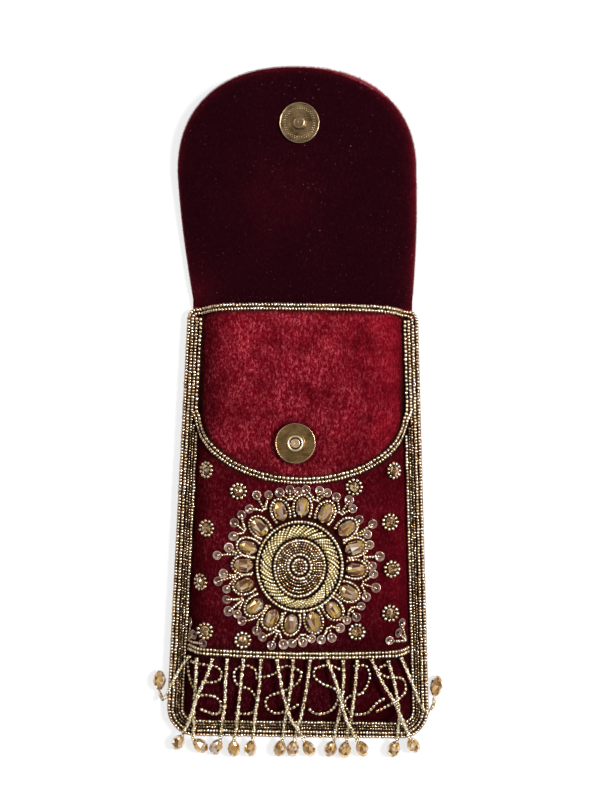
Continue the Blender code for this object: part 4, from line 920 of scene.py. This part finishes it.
def stage_and_camera():
    """Pale floor, soft lamps and the camera straight above."""
    reach = 3.0
    corners = np.array([(-reach, -reach, 0), (reach, -reach, 0), (reach, reach, 0), (-reach, reach, 0)])
    add_object("floor", corners, np.array([[0, 1, 2, 3]]), floor_look())
    scene = bpy.context.scene
    studio = Look("studio", bpy.data.worlds, "Background", Strength=WORLD_STRENGTH)
    spot = studio.node("ShaderNodeTexCoord", output="Generated")
    height = studio.node("ShaderNodeSeparateXYZ", {0: spot}, output="Z")
    studio.surface(Color=studio.ramp(height, WORLD_STOPS))
    white = studio.node("ShaderNodeBackground", {"Color": rgba(1, 1, 1)})
    seen = studio.node("ShaderNodeLightPath", output="Is Camera Ray")
    studio.share_surface("World Output", seen, white)
    scene.world = studio.owner
    for name, place, size, power in (
            ("key_lamp", (0.54, 0.14, 0.76), 0.20, 12.0),
            ("fill_lamp", (-0.60, 0.35, 0.9), 0.5, 2.5)):
        lamp = bpy.data.lights.new(name, "AREA")
        lamp.shape = "DISK"
        lamp.size = size
        lamp.energy = power
        holder = bpy.data.objects.new(name, lamp)
        holder.location = place
        aim = Vector((0, 0.05, 0)) - Vector(place)
        holder.rotation_euler = aim.to_track_quat("-Z", "Y").to_euler()
        scene.collection.objects.link(holder)
    camera = bpy.data.cameras.new("camera")
    camera.sensor_fit = "VERTICAL"
    camera.sensor_height = 36.0
    camera.lens = CAMERA_LENS
    camera.clip_start = 0.01
    holder = bpy.data.objects.new("camera", camera)
    holder.location = CAMERA_PLACE
    holder.rotation_euler = (0, 0, CAMERA_TURN)
    scene.collection.objects.link(holder)
    scene.camera = holder
    scene.view_settings.view_transform = "Standard"


def make_front():
    """The padded front: rows that follow the edge up the shoulder, and the pile's painted sheen and shade in
    broad places.
    """
    shoulder = SEAM_WIDTH + SHOULDER_WIDTH * np.linspace(0, 1, 17)[1:] ** 1.3
    grid = body_sheet(np.concatenate([np.linspace(0, SEAM_WIDTH, 8), shoulder]), 34, 96, 0.0, front_height)
    x, y = grid[..., 0], grid[..., 1]
    share = scallop_share(x, y)
    # The field inside the scallop line is painted brighter than the one below it, as sheen on the same cloth;
    # both grow darker towards the foot.
    lower = 0.04 + 0.22 * fade(-y, 0.030, 0.056)
    # Painted shade down the left side, where the pillow slopes away.
    upper = 0.93 - 0.36 * fade(x + 0.050, 0.004, 0.022)
    upper = upper - 0.20 * fade(y, 0.060, 0.086) - 0.20 * fade(y, 0.028, 0.044)
    # Painted shade round the snap, where the pile is also pressed flat.
    upper = upper * (1 - 0.5 * fade(np.hypot(x - SNAP_X, y - SNAP_SOCKET_Y), 0.0092, 0.0112))
    # Painted sheen and shade of the pile, dark stitching with painted shade at the beads, and fewer painted
    # highlights on the pile tips to the right and below the scallop line.
    front = sheet_piece(
        "velvet_front", grid, velvet, "front_panel", PANEL_THICKNESS, nap=lower + (upper - lower) * share,
        thread=0.95 * stitch_and_shade_share(x, y), fuzz=(0.30 + 0.70 * fade(x, 0.012, 0.040)) * (0.55 + 0.45 * share))


def make_lining():
    """The satin bag: an upper sheet that follows the pillow and a flat lower one, welded at their edges."""

    def lining_height(x, y):
        return FLANGE_TOP + pillow(edge_distance(x, y) - LINING_SIDE_ROOM) - LINING_DROP

    closing = 1 - (1 - (LINING_FLOOR + LINING_DROP - FLANGE_TOP) / PILLOW_RISE) ** (1 / SHOULDER_POWER)
    seam = SEAM_WIDTH + LINING_SIDE_ROOM + SHOULDER_WIDTH * closing
    steps = seam + (SHOULDER_WIDTH * (1 - closing)) * np.linspace(0, 1, 8)
    upper, floor = (body_sheet(steps, 14, 40, FACING_TUCK + GAP, height)
                    for height in (lining_height, lambda x, y: np.full_like(x, LINING_FLOOR)))
    upper[:, 0, 2] = upper[:, -1, 2] = upper[0, :, 2] = LINING_FLOOR
    quads = grid_quads(*upper.shape[:2])
    bag = add_piece("satin_lining", np.vstack([upper.reshape(-1, 3), floor.reshape(-1, 3)]),
                    np.vstack([quads, quads[:, ::-1] + upper[..., 0].size]), satin, "pocket_lining")
    bag.modifiers.new("seam", "WELD").merge_threshold = 0.00001
    solid = bag.modifiers.new("thickness", "SOLIDIFY")
    solid.thickness = LINING_THICKNESS
    solid.offset = 1


def make_back():
    """The back, which runs on as the flap: a flat sheet, then the flap's plan with its lift."""
    body = body_sheet(np.linspace(0, CORNER_RADIUS, 8), 20, 60, 0.0, lambda x, y: np.full_like(x, BACK_TOP))
    x, y = flap_plan_grid(FLAP_NECK_Y, body.shape[1], 30, 30, 0.0)
    x = np.vstack([x[:1], x])
    y = np.vstack([mouth_y(x[:1]) + 0.0004, y])
    back = np.concatenate([body, np.stack([x, y, BACK_TOP + flap_lift(y)], axis=-1)])
    whole = sheet_piece("velvet_back", back, velvet, "back_panel_and_flap", BACK_TOP,
                        nap=np.full(back.shape[:2], 0.55))


def make_facing():
    """The dark velvet inside of the flap: its plan with a rounded edge, and a tuck into the mouth."""
    across = np.linspace(-1, 1, 90)
    x, y = flap_plan_grid(FLAP_NECK_Y, 90, 44, 44, FACING_INSET)
    tuck_x = across * (FLAP_BASE_WIDTH / 2 - 2 * SEAM_WIDTH)
    wide_x = np.sin(math.pi / 2 * across) * (FLAP_BASE_WIDTH / 2 - FACING_INSET)
    x = np.vstack([tuck_x, wide_x, x])
    y = np.vstack([rim_y(tuck_x) - FACING_TUCK, rim_y(wide_x) + FACING_MOUTH_ROOM, y])
    near_edge = np.clip(flap_edge_distance(x, y), 0, None)
    rounding = 0.0010 * (1 - np.clip(near_edge / 0.0016, 0, 1)) ** 2
    grid = np.stack([x, y, FLANGE_TOP + flap_lift(y) - rounding], axis=-1)
    # A broad lighter patch left of the middle of the flap.
    lighter_patch = 0.10 * np.exp(-((x + 0.012) / 0.020) ** 2 - ((y - 0.150) / 0.022) ** 2)
    # Painted glow: red light at the lower left corner and down the right side.
    glow = 0.30 * np.exp(-np.hypot(x + 0.048, y - 0.106) / 0.007) + 0.18 * np.exp(-np.abs(x - 0.049) / 0.003)
    turned = turned_share(x, y)
    # The crimson turned over the edge, with a painted highlight that grows where the edge turns to the light.
    edge_glow = (0.9 + 1.1 * turned) * np.exp(-near_edge / (0.0007 + 0.0005 * turned))
    facing = sheet_piece("velvet_flap_facing", grid, dark_velvet, "flap_facing", PANEL_THICKNESS - 0.0001,
                         nap=0.06 + lighter_patch + glow + edge_glow)


def make_pile():
    """Tufts of pile at the flap's edge: thin spikes that start inside the edge and lean out over it."""
    side_y = np.linspace(FLAP_NECK_Y + 0.003, FLAP_WIDEST_Y, 60)[:-1]
    half, centre = flap_half(side_y)
    turn = np.linspace(0, math.pi, 160)
    stretch = superellipse(np.abs(np.cos(turn)), np.sin(turn), -1)
    tip_x = -FLAP_SKEW + (FLAP_BASE_WIDTH + FLAP_FLARE) / 2 * np.cos(turn) * stretch
    tip_y = FLAP_WIDEST_Y + FLAP_TIP_DEPTH * np.sin(turn) * stretch
    x = np.concatenate([centre + half, tip_x, (centre - half)[::-1]])
    y = np.concatenate([side_y, tip_y, side_y[::-1]])
    spots, along = spaced(np.column_stack([x, y, np.zeros(len(x))]), PILE_PITCH)
    count = len(spots)
    turned = turned_share(spots[:, 0], spots[:, 1])
    corner = np.exp(-((spots[:, 0] - 0.022) / 0.020) ** 2 - ((spots[:, 1] - 0.198) / 0.013) ** 2)
    outward = np.cross(along, UP) + 0.45 * rng.normal(size=(count, 1)) * along
    room = 0.0010 + (0.0003 * turned + 0.0013 * corner) * rng.uniform(0, 1, count)
    start = spots - normalised(outward) * room[:, None]
    sunk = 0.0005 * rng.uniform(0, 1, count) * (1 - corner)
    start[:, 2] = FLANGE_TOP + flap_lift(start[:, 1]) - 0.0002 + 0.0004 * corner - sunk
    frames = frames_along(normalised(outward + [0.0, 0.0, 0.10]), UP)
    length = (0.00112 + 0.00038 * turned) * rng.uniform(0.75, 1.1, count)
    spike = np.array([(0.0, -1, -1), (0.0, 1, -1), (0.0, 0, 1), (1.0, 0, 0)])
    sides = np.array([(0, 1, 2), (0, 3, 1), (1, 3, 2), (2, 3, 0)])[:, ::-1]
    scales = np.column_stack([length, np.full((count, 2), PILE_WIDTH)])
    points, faces = swarm((spike, sides), start, frames, scales)
    # Painted highlight: the pile tips are brighter where the edge turns to the light, at the upper corner and
    # towards each tip.
    own = np.clip(0.20 + 0.30 * turned + 0.36 * corner + rng.uniform(-0.15, 0.25, count), 0, 1)
    tones = np.clip(own[:, None] + 0.12 * spike[:, 0], 0, 1)
    add_piece("flap_edge_pile", points, faces, pile_tips, smooth=False, tone=tones)


def make_rows():
    """The bead rows along the edge, the scallop line and the band."""
    for name, plan, radius, pitch, look, node in (
            ("edge_beads", closed_plan(0.0009), 0.00088, ROW_PITCH, gold, "edge_bead_row"),
            ("second_beads", closed_plan(0.0027), ROW_BEAD, ROW_PITCH, gold, "second_bead_row"),
            ("outer_bronze_beads", outline_plan(0.0043, row_start(0.0043, 0.0006)), 0.00064, 0.00120,
             edge_bronze, "outer_bronze_row"),
            ("inner_bronze_beads", outline_plan(0.0055, row_start(0.0055, 0.0006)), 0.00064, 0.00120,
             edge_bronze, "inner_bronze_row"),
            ("inner_beads", outline_plan(0.0070, row_start(0.0070, 0.0008)), ROW_BEAD, RING_PITCH, gold,
             "inner_bead_row"),
            ("scallop_outer_beads", scallop_plan(0.0045, SCALLOP_ROW_STEP), ROW_BEAD, ROW_PITCH, gold,
             "scallop_outer_row"),
            ("scallop_inner_beads", scallop_plan(0.0063, 0.0), ROW_BEAD, 0.00190, gold, "scallop_inner_row"),
            ("band_upper_beads", band_plan(0.0), RING_BEAD, 0.00148, gold, "band_upper_row"),
            ("band_lower_beads", band_plan(BAND_ROW_STEP), RING_BEAD, 0.00148, gold, "band_lower_row")):
        closed = name in ("edge_beads", "second_beads")
        bead_piece(name, [lay_row(plan, radius, pitch, closed)], look, node)


def make_bullion():
    """Short coils of wrapped wire laid slanting round the ring, each a bowed tube with fine ridges."""
    strokes = 50
    sides = 9
    along = np.linspace(-1, 1, 62)
    turn = steps_round(sides)[None, :, None]
    bowed = 0.0007 * (1 - along ** 2)
    taper = np.sqrt(np.maximum(1 - np.abs(along) ** 6, 0.02))
    ridge = np.cos(along * math.pi * 7)
    thick = (0.00062 * taper * (1 + 0.13 * ridge))[:, None, None]
    coils = []
    for middle in steps_round(strokes):
        low_end = INNER_RING_RADIUS * EGG_SHARE * max(0.0, math.cos(middle - EGG_TURN)) ** 3
        radius = BULLION_RADIUS + low_end / 2 + (0.00255 - low_end / 2) * along
        angle = middle - 0.17 * along + rng.normal(scale=0.008)
        spine = sun_places(radius, angle, PANEL_TOP + 0.0009 + bowed)
        direction = normalised(np.gradient(spine, axis=0))
        side = normalised(np.cross(direction, UP))
        up = np.cross(side, direction)
        ring = spine[:, None, :] + thick * (np.cos(turn) * side[:, None, :] + np.sin(turn) * up[:, None, :])
        # Painted highlight on each ridge's crest and painted shade between the ridges, over each stroke's own
        # tone.
        tones = np.repeat(np.clip(0.50 + rng.uniform(-0.16, 0.16) + 0.5 * ridge, 0, 1), sides)
        coils.append((ring.reshape(-1, 3), grid_quads(len(along), sides, wrap=True), tones))
    bead_piece("bullion_coils", coils, bullion, "sun_bullion_ring")


def make_sun():
    """Rings of beads, petals round the crystals, coils of bullion and the crystals themselves."""
    field = ((0.0066, 0.02), (0.0077, 0.05), (0.0088, 0.09), (0.0098, 0.12))
    for name, rings, look, *nodes in (
            ("sun_outer_beads", [(SUN_RING_RADIUS, RING_BEAD, RING_PITCH)], gold, "sun_outer_ring"),
            ("sun_inner_beads", [(INNER_RING_RADIUS, RING_BEAD, RING_PITCH, BEAD, EGG_SHARE)], gold,
             "sun_inner_ring"),
            ("sun_heart_beads", [(HEART_RING_RADIUS, RING_BEAD, RING_PITCH)], gold, "sun_heart_ring"),
            ("sun_field_beads", [(radius, 0.00060, FINE_PITCH, SMALL_BEAD, egg) for radius, egg in field],
             bronze, "sun_bronze_field"),
            ("sun_eye_beads", [(0.0006, FINE_BEAD, FINE_PITCH), (0.0017, FINE_BEAD, FINE_PITCH, SMALL_BEAD)],
             bronze, "sun_heart"),
            ("sun_eye_ring_beads", [(0.0030, 0.00090, 0.00150)], gold)):
        bead_piece(name, [sun_ring(*ring) for ring in rings], look, *nodes)
    petals = [bead_array(*spaced(petal_path(place), 0.00136), UP, ROW_BEAD, 0.00144) for place in CRYSTALS]
    bead_piece("sun_petal_beads", petals, gold, "sun_petal_row")
    make_bullion()

    turn, reach = np.array([compass(place) for place in CRYSTALS]).T
    outward = np.stack([np.cos(turn), SUN_STRETCH * np.sin(turn), 0 * turn], axis=-1)
    sizes = np.array([[0.0043, 0.0030, 0.0021]]) * (1 + 0.04 * rng.normal(size=(len(turn), 1)))
    gem_piece("sun_crystals", facet_gem(OVAL_RINGS, 10), sun_places(reach, turn, PANEL_TOP + 0.0021),
              frames_along(outward, UP), sizes, sewn_glass, warm_end=0.65)


def sequin_shape(sides=16):
    """A small cupped disc with a hole: rings of the top, the rim and the underside."""
    rings = np.array([
        (0.22, 0.10), (0.45, 0.08), (0.8, 0.20), (1.0, 0.34), (1.0, 0.26), (0.45, 0.0), (0.22, 0.02)])
    points = rings_about_z(rings[:, :1], rings[:, 1:], steps_round(sides)).reshape(-1, 3)
    return points, (grid_quads(len(rings) + 1, sides, wrap=True) % len(points))[:, ::-1]


def make_sprigs():
    """Sequins, each held by a small bead at the end of a stem of beads."""
    sequins, stems, knots = [], [], []
    shape = sequin_shape()
    # Painted highlight round each sequin's rim.
    rim = 0.34 * np.clip((np.hypot(shape[0][:, 0], shape[0][:, 1]) - 0.75) / 0.25, 0, 1)

    def add_sprig(path, spots):
        stem, along = spaced(path, STEM_PITCH)
        stems.append(bead_array(stem, along, front_normal(stem), STEM_BEAD, 0.00130))
        up = front_normal(spots)
        tilted = normalised(up + 0.14 * rng.normal(size=up.shape))
        turn = frames_along(np.cross(tilted, rng.normal(size=up.shape)), tilted)
        size = SEQUIN_RADIUS * (1 + 0.05 * rng.normal(size=(len(spots), 1)))
        points, faces = swarm(shape, spots, turn, np.hstack([size, size, size]))
        tones = rng.uniform(0.28, 0.62, (len(spots), 1)) + rim
        sequins.append((points, faces, tones.ravel()))
        knots.append(bead_array(spots + up * 0.0009, np.cross(up, [0.3, 1.0, 0.0]), up, 0.00052, 0.0009))

    turns = np.array([compass(place)[0] for place in CRYSTALS])
    gaps = (turns + np.roll(turns, -1)) / 2
    gaps = np.where(np.abs(turns - np.roll(turns, -1)) > math.pi, gaps + math.pi, gaps)
    for place in SEQUINS:
        turn, reach = compass(place)
        away = (turn - gaps + math.pi) % math.tau - math.pi
        root = turn - away[np.argmin(np.abs(away))] * 0.85
        share = np.linspace(0, 1, 8)
        radius = SPRIG_ROOT + (reach - SPRIG_ROOT) * share
        path = sun_places(radius, root + (turn - root) * share ** 1.2, 0.0)
        path[:, 2] = front_height(path[:, 0], path[:, 1]) + 0.0006 + 0.0003 * share
        add_sprig(path, path[-1:] + [0, 0, -0.0006])
    for root, ends in CORNER_SPRAYS:
        root = on_plan(root)
        for end in on_plan(ends):
            line = root + (end - root) * np.linspace(0, 1, 10)[:, None]
            height = front_height(line[:, 0], line[:, 1])
            add_sprig(np.column_stack([line, height + 0.0007]), np.array([[*end, height[-1] + 0.0003]]))
    bead_piece("sequins", sequins, sequin_film)
    bead_piece("sprig_beads", stems, gold)
    bead_piece("sequin_knots", knots, bronze)


def make_flowers():
    """Twelve round crystals, each in a ring of beads that lies on the front."""
    centres = on_plan(FLOWERS)
    up = front_normal(centres)
    base = np.column_stack([centres, front_height(centres[:, 0], centres[:, 1])])
    frames = frames_along(np.cross(up, [0.0, -1.0, 0.0]), up)
    gem_piece("flower_crystals", facet_gem(ROUND_RINGS, 9), base + up * 0.0013, np.roll(frames, 1, axis=-1),
              [0.0013, 0.0023, 0.0023], eye_glass)
    circle = rings_about_z(1.0, 0.0, steps_round(11))
    rings = []
    for centre, frame_turn, normal in zip(base, frames, up):
        around = circle @ frame_turn.T
        rings.append(bead_array(centre + around * 0.0032 + normal * 0.0007, np.cross(normal, around), normal,
                                0.00088, 0.00168))
    bead_piece("flower_beads", rings, gold)


def make_scrolls():
    rows = [lay_row(smooth_line(on_plan(line)), 0.00080, 0.00185, fill=1.02) for line in SCROLLS]
    bead_piece("scroll_beads", rows, gold)


def strand_line(plan):
    """The strand's route, as in the model: over the scrolls and rows, round the foot's edge."""
    line = smooth_line([(*point, 0)[:3] for point in plan])
    x, y = line[:, 0] / 1000, line[:, 1] / 1000
    reach = STRAND_RADIUS + ROW_TOP + GAP + STRAND_SLACK
    lift = np.maximum(0, line[:, 2]) * (2 * STRAND_RADIUS + 3 * GAP)
    return np.column_stack([x, y, seat_height(x, y, reach) + lift])


def make_fringe():
    """Strands of two threads of small beads twisted round each other, and their drops."""
    for letter, (plan, heading) in STRANDS.items():
        path = strand_line(plan)
        spots, along = spaced(path, TWIST_PITCH)
        up = normalised(np.cross(along, np.cross(UP, along)))
        side = np.cross(along, up)
        threads = []
        for phase in (0.0, math.pi):
            turn = (phase + np.arange(len(spots)) * TWIST_TURN)[:, None]
            centre = spots + TWIST_RADIUS * (np.cos(turn) * side + np.sin(turn) * up)
            threads.append(bead_array(centre, np.gradient(centre, axis=0), up, TWIST_BEAD, 0.00124,
                                      SMALL_BEAD, jitter=0.03, spread=0.07))
        strand = bead_piece(f"strand_{letter}", threads, pale_gold, f"fringe_strand_{letter}")
        drop = make_drop(letter, path, heading)
        line = np.vstack([path[:1], spaced(path, 0.0015)[0], path[-1:]])


def make_drop(letter, path, heading):
    """A faceted drop that leaves the strand's end for the surface."""
    start = path[-1]
    belly = start + normalised(np.array([*heading, 0.0])) * DROP_BELLY * 0.86
    belly[2] = max(DROP_RADIUS + GAP, float(seat_height(belly[0], belly[1], DROP_RADIUS + GAP)))
    run = normalised(belly - start)
    outline = ((DROP_RADIUS, DROP_BELLY), (DROP_SHOULDER_RADIUS, DROP_SHOULDER),
               (DROP_NECK_RADIUS, DROP_LENGTH))
    lowest = max((radius + GAP - start[2]) / along for radius, along in outline)
    if run[2] < lowest:
        flat = normalised(np.array([run[0], run[1], 0.0])) * math.sqrt(1 - lowest ** 2)
        run = np.array([flat[0], flat[1], lowest])
    bend = math.acos(min(1.0, float(run @ normalised(start - path[-2]))))
    place = start + run * (GAP + STRAND_RADIUS * math.sin(bend))
    frames = frames_along(run[None, :], UP)
    return gem_piece(f"drop_{letter}", facet_gem(DROP_RINGS, 9), place[None, :], frames,
                     [DROP_LENGTH, DROP_RADIUS, DROP_RADIUS], hanging_glass, f"fringe_drop_{letter}")


def rounded_profile(corners, round_by, steps):
    """Corners of a turned profile, each cut back and replaced by a short arc."""
    share = np.linspace(0, 1, steps)[:, None]
    result = []
    for before, here, after in zip(np.roll(corners, 1, axis=0), corners, np.roll(corners, -1, axis=0)):
        back = min(round_by, np.linalg.norm(before - here) * 0.4)
        ahead = min(round_by, np.linalg.norm(after - here) * 0.4)
        start = here + normalised(before - here) * back
        end = here + normalised(after - here) * ahead
        result.append((1 - share) ** 2 * start + 2 * share * (1 - share) * here + share ** 2 * end)
    return np.vstack(result)


def turned_piece(name, corners, rounding, look, seat, node, worn):
    """A closed profile of (radius, height) in tenths of a millimetre, rounded and turned about an axis.

    worn is which of the two shows where the metal is bright, from where, over what span, and how bright."""
    turns = 96
    profile = rounded_profile(np.array(corners) / 10000, *rounding)
    profile = np.vstack([profile[:1], profile[:0:-1]])
    points = rings_about_z(profile[:, :1], profile[:, 1:], steps_round(turns)).reshape(-1, 3)
    faces = grid_quads(len(profile) + 1, turns, wrap=True) % len(points)
    origin, frame_turn = seat
    column, start, span, full = worn
    tones = full * np.clip((profile[:, column] - start) / span, 0, 1)
    made = add_piece(name, points @ frame_turn.T + origin, faces, look, node, tone=np.repeat(tones, turns))
    made.data.set_sharp_from_angle(angle=math.radians(40))


def make_snaps():
    """The two halves of the snap, turned, and rings of small pressed dots on the flap's plate."""
    lift = float(flap_lift(SNAP_STUD_Y))
    tilt = math.atan(2 * lift / (SNAP_STUD_Y - FLAP_LIFT_START_Y))
    tilted = np.array([[1, 0, 0], [0, math.cos(tilt), -math.sin(tilt)], [0, math.sin(tilt), math.cos(tilt)]])
    socket = (np.array([SNAP_X, SNAP_SOCKET_Y, PANEL_TOP]), np.eye(3))
    stud = (np.array([SNAP_X, SNAP_STUD_Y, FLANGE_TOP + lift]), tilted)
    turned_piece("snap_socket_case", [
        (26, 39), (32, 42), (38, 38), (41, 33), (85, 33), (87, 35), (90, 33), (91, 3), (87, 3), (85, 30),
        (26, 30)], (0.00018, 4), brass, socket, "body_snap_case", (1, 0.00335, 0.00020, 1.0))
    turned_piece("snap_socket_core", [
        (0.2, 37), (19.5, 38), (22.5, 35), (22.5, 7), (83, 7), (83, 3), (0.2, 3)], (0.00015, 4),
        brass, socket, "body_snap_base_and_core", (1, 0.0033, 0.0003, 0.55))
    turned_piece("snap_stud_plate", [
        (15, 14), (85, 14), (87, 16), (90, 14), (91, 3), (87, 3), (85, 10), (15, 10)], (0.00018, 4),
        dark_brass, stud, "flap_snap_plate", (1, 0.00145, 0.00015, 1.0))
    turned_piece("snap_stud_head", [
        (0.2, 35), (21, 36), (29, 30), (29, 17), (12, 17), (12, 10), (0.2, 10)], (0.0005, 6),
        dark_brass, stud, "flap_snap_stud", (0, 0.0020, 0.0006, 1.0))
    dots = []
    for ring, count in ((0.0062, 36), (0.0069, 40)):
        turn = steps_round(count)
        spots = rings_about_z(ring, 0.00142, turn) @ tilted.T + stud[0]
        around = rings_about_z(1.0, 0.0, turn + math.pi / 2) @ tilted.T
        # The dots take the beads' tones: bright worn metal on top, which is also the beads' painted
        # highlight.
        dots.append(bead_array(spots, around, tilted[:, 2], 0.00022, 0.00062, SMALL_BEAD, 0.0))
    bead_piece("snap_pressed_dots", dots, dark_brass)


def dress_hidden_nodes():
    """Materials for the nodes that no piece replaces."""
    for name in ("body_snap_prongs", "body_snap_washer", "body_snap_magnet",
                 "flap_snap_prongs", "flap_snap_washer"):
        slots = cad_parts[name].data.materials
        look = magnet if name == "body_snap_magnet" else brass
        if len(slots):
            slots[0] = look
        else:
            slots.append(look)


stage_and_camera()
make_front()
make_lining()
make_back()
make_facing()
make_pile()
make_rows()
make_sun()
make_sprigs()
make_flowers()
make_scrolls()
make_fringe()
make_snaps()
dress_hidden_nodes()
